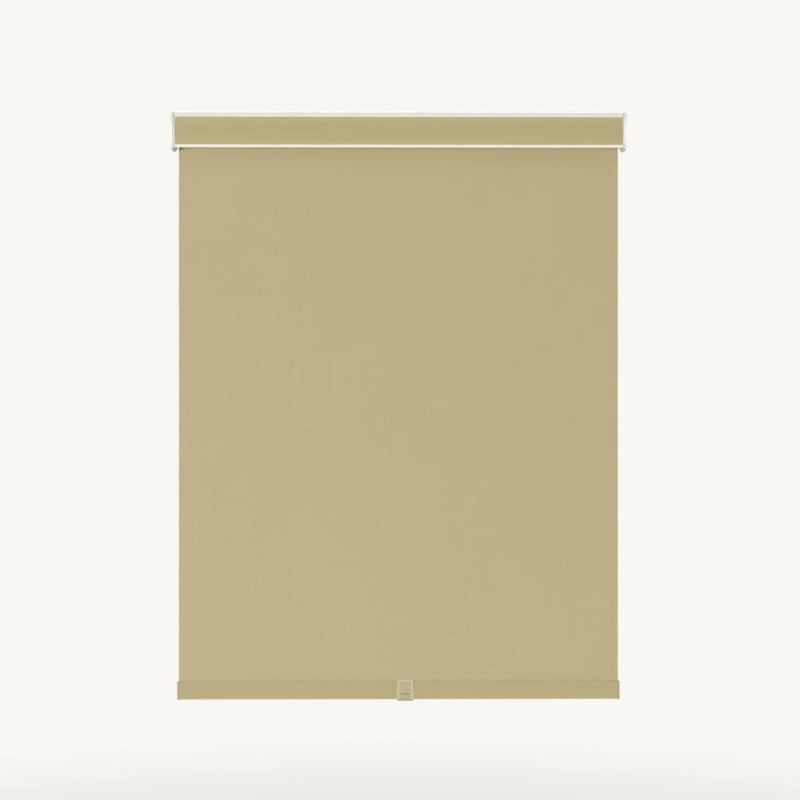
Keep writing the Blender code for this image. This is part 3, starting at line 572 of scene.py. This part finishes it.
def piece(obj, finish, body, node):
    """Gives the object its finish and its body, and lets it stand for this node."""
    # Large flat faces keep their own shading, and the rounded edges between them turn smoothly.
    obj.modifiers.new("Normals", "WEIGHTED_NORMAL").keep_sharp = True
    bake(obj)
    obj.data.materials.clear()
    obj.data.materials.append(finish.material)
    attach(obj, body)
    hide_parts(node)
    return obj


def rail_hook(outer, tip, inner):
    """A hook on the rail's top, from its outer side to its inner one. Places along Y are in mm."""
    foot, under, top = RAIL_TOP_Z / MM, -2.7, -1.5
    return in_mm((outer, foot), (outer, top), (tip, top), (tip, under), (inner, under), (inner, foot))


def rail_outline():
    """The extrusion's section, with its bracket hooks, insert slots and screw blocks."""
    top_fillet, bottom_fillet = 6 * MM, 4 * MM
    top, top_angle = fillet_on_arc(RAIL_TOP_Z, top_fillet, LIP_RADIUS)
    bottom, bottom_angle = fillet_on_arc(RAIL_BOTTOM_Z, bottom_fillet, LIP_RADIUS)
    lip_start, lip_end = arc_angle(LIP_RADIUS, UPPER_LIP), arc_angle(LIP_RADIUS, -LOWER_LIP)
    slot_start, slot_end = arc_angle(SLOT_OUTER, UPPER_SLOT), arc_angle(SLOT_OUTER, -LOWER_SLOT)
    rear_hook, front_hook = rail_hook(27, 22.5, 25.8), rail_hook(-22.2, -17.5, -21)[::-1]
    front = (
        arc(top, top_fillet, 90, top_angle, 16)
        + arc(ARC_CENTRE, LIP_RADIUS, top_angle, lip_start, 8)[1:]
        + arc(ARC_CENTRE, SLOT_OUTER, lip_start, slot_start, 6)
        + arc(ARC_CENTRE, SLOT_INNER, slot_start, slot_end, 64)
        + arc(ARC_CENTRE, SLOT_OUTER, slot_end, lip_end, 6)
        + arc(ARC_CENTRE, LIP_RADIUS, lip_end, bottom_angle, 8)
        + arc(bottom, bottom_fillet, bottom_angle, 270, 12)[1:]
    )
    ledge_z = -67.5 * MM
    wall_low = arc_angle(WALL_INNER, ledge_z - ARC_Z)
    under_top = RAIL_TOP_Z - TOP_WALL
    boss = 3.5 * MM
    front_port, rear_port, _ = SCREW_PORTS
    boss_front_y = front_port[0] - boss
    rear_inner_y, flange_bottom_z = REAR_Y - TOP_WALL, -22 * MM
    inside = (
        [(-25 * MM, RAIL_BOTTOM_Z), (-25 * MM, ledge_z)]
        + arc(ARC_CENTRE, WALL_INNER, wall_low, 127, 48)
        + [(boss_front_y - 1.6 * MM, -9.2 * MM), (boss_front_y, -7.6 * MM)]
        + arc(front_port, boss, 180, 360, 20)
        + [(front_port[0] + boss, under_top), (rear_port[0] - boss, under_top)]
        + arc(rear_port, boss, 180, 360, 20)
        + [(rear_port[0] + boss, under_top), (rear_inner_y, under_top)]
        + [(rear_inner_y, flange_bottom_z), (REAR_Y, flange_bottom_z), (REAR_Y, RAIL_TOP_Z)]
    )
    return rounded(rear_hook + front_hook + front + inside, 0.35 * MM)


def make_rail():
    """The extrusion, with a round port in each of its three screw blocks."""
    loops = [rail_outline(), *(circle(port, 1.7 * MM, 32) for port in SCREW_PORTS)]
    piece(prism("rail", loops, -RAIL_END_X, RAIL_END_X), rail_paint, "root", "cassette_rail")


def make_fascia():
    """The curved strip in the rail's slots, and the fabric over it, turned behind its edges."""
    reach = 0.7 * MM
    start, end = arc_angle(SLOT_OUTER, UPPER_SLOT - reach), arc_angle(SLOT_OUTER, reach - LOWER_SLOT)
    cloth, play = 0.34 * MM, 0.02 * MM
    front = SLOT_OUTER - FIT / 2
    back = SLOT_INNER + FIT / 2
    core_front, core_back = front - cloth - play, back + cloth + play
    inset = math.degrees((cloth + 2 * play) / front)
    core = arc(ARC_CENTRE, core_front, start + inset, end - inset, 64)
    core += arc(ARC_CENTRE, core_back, end - inset, start + inset, 64)
    strip = prism("fascia_strip", [core], -INSERT_END_X, INSERT_END_X)
    piece(strip, mill_aluminium, "root", "fascia_insert")

    flap = 9  # degrees of the cloth turned in behind each edge
    path = arc(ARC_CENTRE, back, start + flap, start + inset / 2, 10)
    path += arc(ARC_CENTRE, front, start, end, 72)
    path += arc(ARC_CENTRE, back, end - inset / 2, end - flap, 10)

    def swollen(x, y, z):
        """The cloth's front is uneven by a few hundredths of a millimetre."""
        out = Vector((y - ARC_Y, z - ARC_Z))
        swell = 0.06 * MM * wavy((x, 0, z), 60 * MM, 1.0) if out.length > core_front else 0
        out *= 1 + swell / out.length
        return x, ARC_Y + out.x, ARC_Z + out.y

    cover = laid_cloth("fascia_fabric", ribbon(path, cloth), INSERT_END_X, 150, swollen)
    piece(cover, woven, "root", "fascia_insert")


def make_end_cap(hand, side):
    """A moulded cap: a shallow panel outside, a ribbed pocket inside, and three sunk screw holes."""
    inner_x, outer_x = side * CAP_INNER_X, side * HALF_WIDTH
    cap = soften(prism(f"{hand}_cap", [end_silhouette(0)], inner_x, outer_x), 1.3 * MM, 5, 60)
    pocket_outline = rounded_rectangle((2 * MM, AXIS_Z), 46 * MM, 44 * MM, 9 * MM)
    pocket = prism("pocket", [pocket_outline], inner_x - side * MM, inner_x + side * 2.6 * MM)
    low_x, high_x = sorted((inner_x, outer_x))
    ribs = [
        block("rib", (low_x, y - 0.5 * MM, -67 * MM), (high_x, y + 0.5 * MM, -17 * MM))
        for y in (-12 * MM, 16 * MM)
    ]
    combine(pocket, ribs)
    panel_outline = arc(ARC_CENTRE, 33.5 * MM, 131, 229, 48)
    panel_outline += [(29 * MM, panel_outline[-1][1]), (29 * MM, panel_outline[0][1])]
    seat_x, beyond_x = outer_x - side * SCREW_SEAT, outer_x + side * MM
    panel = prism("panel", [rounded(panel_outline, 6 * MM, 8)], outer_x - side * 0.5 * MM, beyond_x)
    steps = ((1.8 * MM, inner_x - side * MM, seat_x), (3.6 * MM, seat_x, beyond_x))
    holes = [turned("hole", steps, None, port, 40, 0) for port in SCREW_PORTS]
    combine(cap, [pocket, panel, *holes])
    piece(soften(cap, 0.22 * MM, 2, 40), moulded_white, "root", f"{hand}_end_cap")


def screw_mesh():
    """A pan-head screw along +X, its head's underside at the origin, with a cross recess and a thread."""
    sides, pitch = 36, 1.25 * MM
    head = in_mm((0.35, 1.72), (1.1, 1.68), (1.9, 1.52), (2.6, 1.24), (3.05, 0.86), (3.2, 0.5), (3.2, 0.14))
    neck = in_mm((3.08, 0), (1.55, 0), (1.36, -0.25), (1.36, -1.6))
    profile = [(radius, x, 0.0) for radius, x in head + neck]
    steps = 84
    for i in range(1, steps + 1):
        run = i / steps
        taper = min(1.0, (1 - run) * 7 + 0.12)
        ridge = 0.36 * MM * min(1.0, run * 12) * taper
        profile.append((1.2 * MM * taper, -(1.6 + 14.6 * run) * MM, ridge))
    rings = []
    for radius, x, ridge in profile:
        ring = []
        for k in range(sides):
            phase = (x / pitch + k / sides) % 1
            reach = radius + ridge * max(0.0, 1 - 3.2 * abs(phase - 0.5))
            angle = TURN * k / sides
            ring.append((x, reach * math.cos(angle), reach * math.sin(angle)))
        rings.append(ring)
    screw = loft("screw", rings)
    wings = []
    for width, height in in_mm((1.75, 0.42), (0.42, 1.75)):
        wing = block("wing", (0.6 * MM, -width, -height), (2.2 * MM, width, height))
        for vertex in wing.data.vertices:
            if vertex.co.x < MM:
                vertex.co.y *= 0.5
                vertex.co.z *= 0.5
        wings.append(wing)
    mesh = combine(screw, wings).data
    bpy.data.objects.remove(screw)
    return mesh


def make_cap_screws():
    mesh = screw_mesh()
    seat_x = HALF_WIDTH - SCREW_SEAT + FIT
    for hand, side in SIDES:
        for number, port in enumerate(SCREW_PORTS, 1):
            screw = new_object(f"{hand}_screw_{number}", mesh.copy())
            turn = Matrix.Rotation(0 if side > 0 else math.pi, 4, "Z")
            roll = Matrix.Rotation(math.radians(23 * number + 40 * side), 4, "X")
            screw.data.transform(Matrix.Translation((side * seat_x, *port)) @ turn @ roll)
            piece(screw, zinc_steel, "root", f"{hand}_cap_screw_{number}")


def make_end_plate(name, side, socket, node):
    holes = [circle(port, 1.8 * MM, 32) for port in SCREW_PORTS]
    loops = [end_silhouette(3.2 * MM), *holes, socket]
    plate = prism(name, loops, side * PLATE_INNER_X, side * PLATE_OUTER_X)
    piece(soften(plate, 0.25 * MM, 2, 60), steel_paint, "root", node)


def make_bracket(hand, x):
    """A pressed steel bracket. Its front tongue hooks under the cassette's front rib."""
    upper = in_mm((-20.3, -3.3), (-16.6, -3.3), (-14.4, 0), (14.4, 0), (16.6, -3.3), (19.5, -3.3))
    lower = in_mm((19.5, -4.7), (15.7, -4.7), (13.6, -1.5), (-13.6, -1.5), (-15.7, -4.7), (-20.3, -4.7))
    outline = rounded(upper + lower, 0.9 * MM, 5)
    bracket = prism(f"{hand}_mount", [outline], x - BRACKET_HALF, x + BRACKET_HALF)
    room = 5.2 * MM
    cutters = [block("notch", (x - room, 12.5 * MM, -6 * MM), (x + room, 22 * MM, MM))]
    for offset in (-9.5 * MM, 9.5 * MM):
        # The countersink opens downwards, for a screw driven up from below.
        rings = [
            [(px, py, z) for px, py in circle((x + offset, 0), radius, 40)]
            for radius, z in ((7 * MM, -3 * MM), (2.3 * MM, -0.6 * MM), (2.3 * MM, MM))
        ]
        cutters.append(loft("hole", rings))
    combine(bracket, cutters)
    piece(soften(bracket, 0.2 * MM, 2, 50), steel_paint, "root", f"{hand}_bracket")


def make_latch(hand, x):
    """The sliding release, with a ribbed thumb tab behind the cassette."""
    tongue = in_mm((1, -4.6), (25.2, -4.6), (25.2, -3.2), (18.6, -3.2), (18.6, -1.2), (38, -1.2), (38, -8))
    back = in_mm((38.4, -8), (38.4, -0.3), (17, -0.3), (17, -3.2), (12, -3.2), (12, -1.9), (1, -1.9))
    half = 4.5 * MM
    latch = prism(f"{hand}_release", [rounded(tongue + back, 0.3 * MM)], x - half, x + half)
    shoulder = block("shoulder", (x - 9 * MM, 9 * MM, -4.6 * MM), (x + 9 * MM, 13.2 * MM, -1.9 * MM))
    low, high = in_mm((37.4, -18.8), (38.3, -4))
    ridges = []
    for number in range(4):
        z = (-16.6 + 2.6 * number) * MM
        ridges += [(high[0], z - 0.6 * MM), (38.7 * MM, z), (high[0], z + 0.6 * MM)]
    tab_outline = rectangle(low, high)
    tab_outline[2:2] = ridges
    tab = soften(prism("thumb_tab", [tab_outline], x - 8 * MM, x + 8 * MM), 0.3 * MM, 2, 60)
    piece(combine(latch, [shoulder, tab], "UNION"), moulded_white, f"{hand}_latch", f"{hand}_latch")


def shorten(spring):
    """Gives the spring a mesh of its own."""
    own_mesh(spring)


def make_latch_spring(hand):
    low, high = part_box(f"{hand}_latch_spring")
    middle, thickness = (low + high) / 2, 0.2 * MM
    start, end = (middle.x, low.y + thickness, middle.z), (middle.x, high.y - thickness, middle.z)
    spring = wire(f"{hand}_release_spring", coil_points(start, end, 1.05 * MM, 9), thickness)
    piece(spring, zinc_steel, "root", f"{hand}_latch_spring")
    shorten(spring)


# Roller

KEY_WIDTH = 5.2 * MM
KEY_DEPTH = 3.6 * MM
TUBE_BORE = TUBE_RADIUS - 1.2 * MM
PLUG_RADIUS = TUBE_BORE - FIT
# The motor head's shoulder, and where the torsion spring's end goes into it; the spring's two spigots
SHOULDER_X, TANG_RADIUS = 402 * MM, 8.5 * MM
SPIGOT_RADIUS = 7.2 * MM


def notched_circle(radius, notch_width, notch_radius, steps):
    """A circle about the roller's axis with a square notch at the top."""
    side = notch_width / 2
    half = math.degrees(math.asin(side / radius))
    rim = arc(AXIS, radius, 90 + half, 450 - half, steps)
    return rounded(rim + [(side, AXIS_Z + notch_radius), (-side, AXIS_Z + notch_radius)], 0.3 * MM)


def make_tube():
    outer = notched_circle(TUBE_RADIUS, 2.8 * MM, TUBE_RADIUS - 2.4 * MM, 160)
    inner = notched_circle(TUBE_BORE, KEY_WIDTH, TUBE_RADIUS - KEY_DEPTH, 160)
    piece(prism("tube", [outer, inner], -TUBE_END_X, TUBE_END_X), mill_aluminium, "roller", "roller_tube")
    make_strip("tube_spline", "fabric_spline", "roller")


def make_strip(name, node, body):
    """A round-edged nylon strip that holds the fabric's edge in a groove."""
    low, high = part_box(node)
    section = rounded(rectangle((low.y, low.z), (high.y, high.z)), 0.5 * MM)
    piece(prism(name, [section], low.x, high.x), natural_nylon, body, node)


def make_wound_fabric():
    """The turns left on the tube, from its groove at the top to where the hanging sheet leaves them."""
    turns, steps = 2.25, 270
    start, end = TUBE_RADIUS + 0.04 * MM, ROLL_OUTER + 0.06 * MM
    pitch = (end - start) / (turns + 0.93)
    path = []
    for i in range(steps + 1):
        angle = TURN * turns * (1 - i / steps)
        low = start + pitch * turns * i / steps
        path.append((low * math.cos(angle), AXIS_Z + low * math.sin(angle)))
    outline = ribbon(path, 0.93 * pitch)
    for i in range(8):
        inner, outer = Vector(path[steps - i]), Vector(outline[steps + 1 + i])
        outline[steps + 1 + i] = tuple(inner.lerp(outer, 0.15 + 0.1 * i))
    roll = prism("wound_fabric", [outline], -TUBE_END_X, TUBE_END_X)
    piece(roll, wound_woven, "roller", "fabric_roll")


def keyway(start_x, end_x):
    """A cutter for the slot in a plug that the tube's inner key drives."""
    half = KEY_WIDTH / 2 + FIT
    low, high = sorted((start_x, end_x))
    floor_z = AXIS_Z + TUBE_RADIUS - KEY_DEPTH - FIT
    return block("keyway", (low, -half, floor_z), (high, half, AXIS_Z + TUBE_RADIUS))


def make_idle_end():
    """The left end: a plug with a sprung pin, which snaps into the end plate's bush."""
    shoulder, inside, flange_inner = -438 * MM, -407 * MM, -(TUBE_END_X + FIT)
    pin_hole, chamber = 3.3 * MM, 5.6 * MM
    outside = ((TUBE_RADIUS, -FLANGE_OUTER_X, flange_inner), (PLUG_RADIUS, flange_inner, inside))
    bore = ((pin_hole, -FLANGE_OUTER_X, shoulder), (chamber, shoulder, inside))
    plug = turned("idle_plug", outside, bore)
    piece(combine(plug, [keyway(flange_inner, inside + MM)]), natural_nylon, "roller", "idle_end_plug")

    tip_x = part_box("idle_pin")[0][0]
    pin, collar_x = 3 * MM, shoulder + FIT
    collar_end = collar_x + 1.5 * MM
    tip = [(2.3 * MM, tip_x), (pin, tip_x + 0.8 * MM, collar_x)]
    tail = [(5.2 * MM, collar_x, collar_end), (pin, collar_end, -404 * MM)]
    piece(turned("pin", tip + tail), zinc_steel, "idle_pin", "idle_pin")

    low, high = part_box("idle_pin_spring")
    thickness = 0.4 * MM
    start, end = (low.x + thickness, 0, AXIS_Z), (high.x - thickness, 0, AXIS_Z)
    spring = wire("pin_spring", coil_points(start, end, 4.25 * MM, 9), thickness)
    piece(spring, zinc_steel, "roller", "idle_pin_spring")
    shorten(spring)
    start_x = high.x + 0.4 * MM
    end_x = start_x + 4 * MM
    retainer = turned("spring_retainer", [(5.3 * MM, start_x, end_x)], [(3.4 * MM, start_x, end_x)])
    piece(retainer, natural_nylon, "roller", "idle_spring_retainer")

    start_x, end_x = (corner.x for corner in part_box("idle_socket_bush"))
    flange_x = -(PLATE_INNER_X - FIT)
    outside = ((5 * MM, start_x, flange_x), (7 * MM, flange_x, end_x))
    bush = turned("socket_bush", outside, [(pin_hole, start_x, end_x)])
    piece(bush, natural_nylon, "root", "idle_socket_bush")


def make_spring_end():
    """The right end: the spring motor's fixed head, and the crown that the tube turns on."""
    head_radius, shaft_hole = 10 * MM, 4.3 * MM
    head_start_x, crown_start_x = 388 * MM, 419 * MM
    disc_x = FLANGE_OUTER_X + 0.4 * MM
    disc_end_x = disc_x + 1.3 * MM
    hole_end_x = 428 * MM
    outside = [(SPIGOT_RADIUS, head_start_x, SHOULDER_X), (head_radius, SHOULDER_X, disc_x)]
    outside.append((12.5 * MM, disc_x, disc_end_x))
    bore = ((shaft_hole, head_start_x, hole_end_x), (0, hole_end_x, disc_end_x))
    head = turned("motor_head", outside, bore)
    low = (disc_x + MM / 2, -4 * MM, AXIS_Z - 1.5 * MM)
    high = (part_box("spring_motor_head")[1][0], 4 * MM, AXIS_Z + 1.5 * MM)
    combine(head, [soften(block("spade", low, high), 0.3 * MM)], "UNION")
    drilled = [(1.1 * MM, SHOULDER_X - MM, SHOULDER_X + 6 * MM)]
    combine(head, [turned("tang_hole", drilled, None, (0, AXIS_Z + TANG_RADIUS), 24, 0)])
    piece(head, natural_nylon, "root", "spring_motor_head")

    flange_inner = TUBE_END_X + FIT
    outside = ((PLUG_RADIUS, crown_start_x, flange_inner), (TUBE_RADIUS, flange_inner, FLANGE_OUTER_X))
    crown = turned("crown", outside, [(head_radius + FIT, crown_start_x, FLANGE_OUTER_X)])
    low = (crown_start_x - MM, -1.3 * MM, AXIS_Z - 14 * MM)
    high = (crown_start_x + 3.5 * MM, 1.3 * MM, AXIS_Z - 9 * MM)
    combine(crown, [keyway(crown_start_x - MM, flange_inner), block("tang_slot", low, high)])
    piece(crown, natural_nylon, "roller", "bearing_crown")

    coil = 11.3 * MM
    start, end = (SHOULDER_X + 2 * MM, 0, AXIS_Z), (crown_start_x - 2.5 * MM, 0, AXIS_Z)
    tang_z = AXIS_Z - coil - 1.1 * MM
    tang = [Vector((end[0] + 1.8 * MM, 0, tang_z)), Vector((crown_start_x + 3 * MM, 0, tang_z))]
    brake = wire("wrap_spring", coil_points(start, end, coil, 6.5) + tang, 0.7 * MM)
    piece(brake, zinc_steel, "roller", "brake_spring")


def make_spring_drive():
    """The fixed shaft and its clip, the plug that the tube drives, and the torsion spring between."""
    low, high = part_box("spring_shaft")
    shaft, neck = high.y, 3 * MM
    groove_x = low.x + 3.6 * MM
    groove_end = groove_x + 1.8 * MM
    steps = ((shaft, low.x, groove_x), (neck, groove_x, groove_end), (shaft, groove_end, high.x))
    piece(turned("shaft", steps), zinc_steel, "root", "spring_shaft")
    ring = arc(AXIS, 7 * MM, -60, 240, 60) + arc(AXIS, neck + FIT, 240, -60, 60)
    clip = prism("circlip", [rounded(ring, 0.5 * MM)], groove_x + FIT, groove_end - FIT)
    piece(soften(clip, 0.15 * MM, 2, 60), zinc_steel, "root", "shaft_clip")

    start_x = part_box("spring_drive_plug")[0].x
    spigot_x = start_x + 26 * MM
    end_x = spigot_x + 16 * MM
    outside = ((PLUG_RADIUS, start_x, spigot_x), (SPIGOT_RADIUS, spigot_x, end_x))
    plug = turned("drive_plug", outside, [(shaft + FIT, start_x, end_x)])
    piece(combine(plug, [keyway(start_x - MM, spigot_x + MM)]), natural_nylon, "roller", "spring_drive_plug")

    start, end = (spigot_x + 1.5 * MM, 0, AXIS_Z), (SHOULDER_X - 2 * MM, 0, AXIS_Z)
    tang = Vector((SHOULDER_X + 5 * MM, 0, AXIS_Z + TANG_RADIUS))
    spring = wire("motor_spring", [*coil_points(start, end, 8.7 * MM, 46), tang], 0.8 * MM)
    piece(spring, zinc_steel, "root", "torsion_spring")


# Curtain

def make_sheet():
    """The hanging sheet: long soft ripples, and side edges that curl a little towards the window."""
    columns, rows = 110, 140
    top_z, bottom_z = AXIS_Z + 1.5 * MM, HEM_TOP_Z + FIT
    rings = []
    for row in range(rows + 1):
        down = row / rows
        z = top_z + (bottom_z - top_z) * down
        freedom = math.sin(math.pi * min(1.0, down * 1.02)) ** 1.6
        front, rear = [], []
        for column in range(columns + 1):
            x = TUBE_END_X * (2 * column / columns - 1)
            edge = TUBE_END_X - abs(x)
            ripple = 0.55 * wavy((x, 0, z * 0.3), 130 * MM, 2.0) + 0.3 * wavy((x, 0, z), 240 * MM, 5.0)
            curl = 1.4 * math.exp(-edge / (9 * MM)) * (1 + 0.3 * wavy((0, 0, z), 200 * MM, 3.0))
            y = SHEET_Y - SHEET_THICKNESS / 2 - FIT / 2 + freedom * (ripple + curl) * MM
            thin = 1 - 0.75 * max(0.0, 1 - (top_z - z) / (4 * MM))
            front.append((x, y, z))
            rear.append((x, y + SHEET_THICKNESS * thin, z))
        rings.append(front + rear[::-1])
    sheet = piece(loft("sheet", rings), sheet_woven, "root", "shade_fabric")
    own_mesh(sheet)


def make_hem_wrap():
    """Fabric folded round the bar. Its two edges meet on the sheet, just above the bar."""
    half, corner, cloth = HEM_DEPTH / 2, 4.5 * MM, 0.45 * MM
    height = HEM_TOP_Z - HEM_BOTTOM_Z
    above = in_mm((-0.75, 1.1), (-0.95, 0.7), (-2.4, 0.15), (-3.8, -0.9), (-4.5, -2.3))
    shoulder = [(y, height + z) for y, z in above]
    shoulder = smooth_path([*shoulder, (-half, height - 4.2 * MM), (-half, height - 6.5 * MM)])
    front = shoulder + [(-half, height * share) for share in (0.75, 0.6, 0.45, 0.3)]
    front += arc((corner - half, corner), corner, 180, 270, 10)
    path = front + [(-y, z) for y, z in front[::-1]][1:]

    def slackened(x, y, z):
        """The fold bulges and sinks a little, and most near its top."""
        loose = max(0.0, 1 - abs(z - height) / (7 * MM))
        slack = 0 if abs(y) < MM else (0.1 + 0.15 * loose) * MM * wavy((x, y, z), 45 * MM, 4.0)
        return x, SHEET_Y + y + math.copysign(slack, slack * y), HEM_BOTTOM_Z + z

    wrap = laid_cloth("hem_wrap", ribbon(path, cloth), TUBE_END_X, 140, slackened)
    piece(wrap, woven, "bottom_rail", "hem_fabric_wrap")


def make_hem_bar():
    """The hollow extrusion inside the hem, with the spline channel open at its top."""
    inset, mouth, channel = 0.8 * MM, 0.9 * MM, 2.1 * MM
    depth, top_z, low_z = HEM_DEPTH - 2 * inset, HEM_TOP_Z - inset, HEM_BOTTOM_Z + inset
    mouth_z, floor_z = top_z - 1.4 * MM, top_z - 4.6 * MM
    rim = rounded_rectangle((SHEET_Y, (top_z + low_z) / 2), depth, top_z - low_z, 3.7 * MM)
    side = [(mouth, top_z), (mouth, mouth_z), (channel, mouth_z), (channel, floor_z)]
    corner = len(rim) // 4
    outline = [p for p in rim[:corner] if p[0] > SHEET_Y + mouth]
    outline += [(SHEET_Y + y, z) for y, z in side] + [(SHEET_Y - y, z) for y, z in side[::-1]]
    outline += [p for p in rim[corner:] if p[1] < top_z or p[0] < SHEET_Y - mouth]
    hollow_top, hollow_bottom = floor_z - 1.2 * MM, low_z + 1.2 * MM
    hollow_centre = (SHEET_Y, (hollow_top + hollow_bottom) / 2)
    hollow = rounded_rectangle(hollow_centre, 5.4 * MM, hollow_top - hollow_bottom, 2.4 * MM)
    bar = prism("hem_core", [rounded(outline, 0.2 * MM), hollow], -TUBE_END_X, TUBE_END_X)
    piece(bar, mill_aluminium, "bottom_rail", "hem_bar")
    make_strip("hem_strip", "hem_spline", "bottom_rail")


def make_hem_cap(hand, side):
    """A moulded cap with a slightly domed outer face, and a tenon inside the bar."""
    low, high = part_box(f"{hand}_hem_cap")
    centre = ((low[1] + high[1]) / 2, (low[2] + high[2]) / 2)
    depth, height = high[1] - low[1], high[2] - low[2]
    face_x, outer_x = side * (TUBE_END_X + FIT), side * max(abs(low[0]), abs(high[0]))
    cap_outline = rounded_rectangle(centre, depth, height, depth / 2 - 0.2 * MM, 16)
    cap = soften(prism(f"{hand}_hem_end", [cap_outline], face_x, outer_x), 1.6 * MM, 6, 60)
    tenon_outline = rounded_rectangle((centre[0], centre[1] - 2.4 * MM), 4.6 * MM, 25 * MM, 2 * MM)
    tenon = prism("tenon", [tenon_outline], side * (TUBE_END_X - 12 * MM), face_x + side * MM)
    soften(tenon, 0.4 * MM, 2, 60)
    piece(combine(cap, [tenon], "UNION"), moulded_tan, "bottom_rail", f"{hand}_hem_cap")


def make_pull():
    """The clear pull: a rimmed front plate with a finger ledge, hooked under the bar."""
    gap, wall = 0.4 * MM, 2.2 * MM
    half = HEM_DEPTH / 2
    front_y, back_y = SHEET_Y - half - gap, SHEET_Y + half + gap
    face_y, rear_y = front_y - wall, back_y + wall
    top_z, bottom_z = HANDLE_HIGH[2], HANDLE_LOW[2]
    clip_z, seat_z = HEM_BOTTOM_Z + 20 * MM, HEM_BOTTOM_Z - gap
    outline = [(face_y, bottom_z + MM), (face_y + MM, bottom_z), (rear_y - MM, bottom_z)]
    outline += [(rear_y, bottom_z + MM), (rear_y, clip_z), (back_y, clip_z), (back_y, seat_z)]
    outline += [(front_y, seat_z), (front_y, top_z), (face_y, top_z)]
    half_bottom, half_top, corner = 17 * MM, 15.5 * MM, 3 * MM
    pull = prism("pull", [rounded(outline, 0.8 * MM)], HANDLE_X - half_bottom, HANDLE_X + half_bottom)
    reach, foot = half_top - corner, half_bottom - corner
    front_shape = []
    for quarter, x in enumerate((reach, -reach, -foot, foot)):
        z = top_z - corner if quarter < 2 else bottom_z + corner
        front_shape += arc((HANDLE_X + x, z), corner, 90 * quarter, 90 * quarter + 90, 12)
    around = prism("around", [front_shape], face_y - 20 * MM, rear_y + 20 * MM, FRONT)
    low = (HANDLE_X - PANEL_HALF, bottom_z + PULL_RIM)
    high = (HANDLE_X + PANEL_HALF, top_z - PULL_RIM)
    panel_outline = rounded(rectangle(low, high), 1.6 * MM, 6)
    combine(pull, [prism("panel", [panel_outline], face_y - MM, face_y + 0.8 * MM, FRONT)])

    hooked = in_mm((1.5, 0), (-3.6, -0.6), (-5.2, -2.4), (-4.6, -3.2), (-3, -2.2), (1.5, -1.9))
    ledge_outline = [(face_y + y, LEDGE_Z + z) for y, z in hooked]
    ledge = prism("ledge", [rounded(ledge_outline, 0.7 * MM)], HANDLE_X - HALF_LEDGE, HANDLE_X + HALF_LEDGE)
    combine(pull, [ledge], "UNION")
    combine(pull, [around], "INTERSECT")
    piece(soften(pull, 0.35 * MM, 3, 40), clear_polycarbonate, "bottom_rail", "pull_handle")


# Camera, lights and floor

PALE = (0.939, 0.93, 0.896)
EYE, AIM = (-44 * MM, -4.038, -0.578), (2.5 * MM, 0, -0.578)


def aimed(name, data, place, aim):
    """An object at place whose -Z axis points at aim."""
    holder = new_object(name, data)
    holder.location = place
    holder.rotation_euler = (Vector(aim) - Vector(place)).to_track_quat("-Z", "Y").to_euler()
    return holder


def make_camera():
    camera = bpy.data.cameras.new("camera")
    camera.lens = 90.5
    camera.dof.use_dof = False
    bpy.context.scene.camera = aimed("camera", camera, EYE, AIM)


def make_world(shine):
    """Pale walls all round, as bright as PALE to the eye, whose light on the blind is cut to shine."""
    world = bpy.data.worlds.new("studio")
    world.use_nodes = True
    nodes, links = world.node_tree.nodes, world.node_tree.links
    walls = nodes["Background"]
    walls.inputs["Color"].default_value = (*PALE, 1)
    strength = nodes.new("ShaderNodeMapRange")
    strength.inputs["To Min"].default_value = shine
    links.new(nodes.new("ShaderNodeLightPath").outputs["Is Camera Ray"], strength.inputs["Value"])
    links.new(strength.outputs["Result"], walls.inputs["Strength"])
    bpy.context.scene.world = world


def make_lights():
    """A soft key in front on the left, a weak fill on the right, and soft light above and behind."""
    middle = (0, 0, -0.6)
    for name, place, size, power in (
        ("key", (-3.0, -6.6, -0.95), 1.0, 390),
        ("fill", (3.4, -5.6, -0.9), 1.4, 74),
        ("above", (0, -5.0, 2.4), 1.6, 21),
        ("overhead", (0, 0.4, 2.4), 1.5, 8),
        ("behind_left", (-2.2, 3.0, 2.6), 2.5, 95),
        ("behind_right", (2.4, 2.8, 2.4), 2.5, 75),
    ):
        light = bpy.data.lights.new(name, "AREA")
        light.size = size
        light.energy = power
        light.color = (1, 0.99, 0.97)
        aimed(name, light, place, middle).visible_camera = False


def make_floor():
    """A pale floor whose edge fades into the walls."""
    body = bmesh.new()
    bmesh.ops.create_circle(body, cap_ends=True, segments=96, radius=3.0)
    floor = mesh_object("floor", body)
    floor.location = (0, 0, -1.75)
    finish = Finish("floor", "", (0.86, 0.85, 0.82), 0.9)
    distance = finish.add("ShaderNodeVectorMath", {"operation": "LENGTH"}, _0=finish.place).outputs["Value"]
    finish.set(Alpha=finish.between(distance, 1, 0, 0.6, 2.9))
    floor.data.materials.append(finish.material)


make_camera()
make_world(0.23)
make_lights()
make_floor()
make_rail()
make_fascia()
for hand, side in SIDES:
    make_end_cap(hand, side)
make_cap_screws()
make_end_plate("idle_plate", -1, circle(AXIS, 5.3 * MM), "idle_end_plate")
spade_slot = rounded(rectangle((-4.3 * MM, AXIS_Z - 1.8 * MM), (4.3 * MM, AXIS_Z + 1.8 * MM)), 0.4 * MM)
make_end_plate("motor_plate", 1, spade_slot, "spring_end_plate")
for hand, side in SIDES:
    make_bracket(hand, side * BRACKET_X)
    make_latch(hand, side * BRACKET_X)
    make_latch_spring(hand)
make_tube()
make_wound_fabric()
make_idle_end()
make_spring_end()
make_spring_drive()
make_sheet()
make_hem_bar()
make_hem_wrap()
for hand, side in SIDES:
    make_hem_cap(hand, side)
make_pull()

bpy.context.scene.view_settings.view_transform = "Standard"
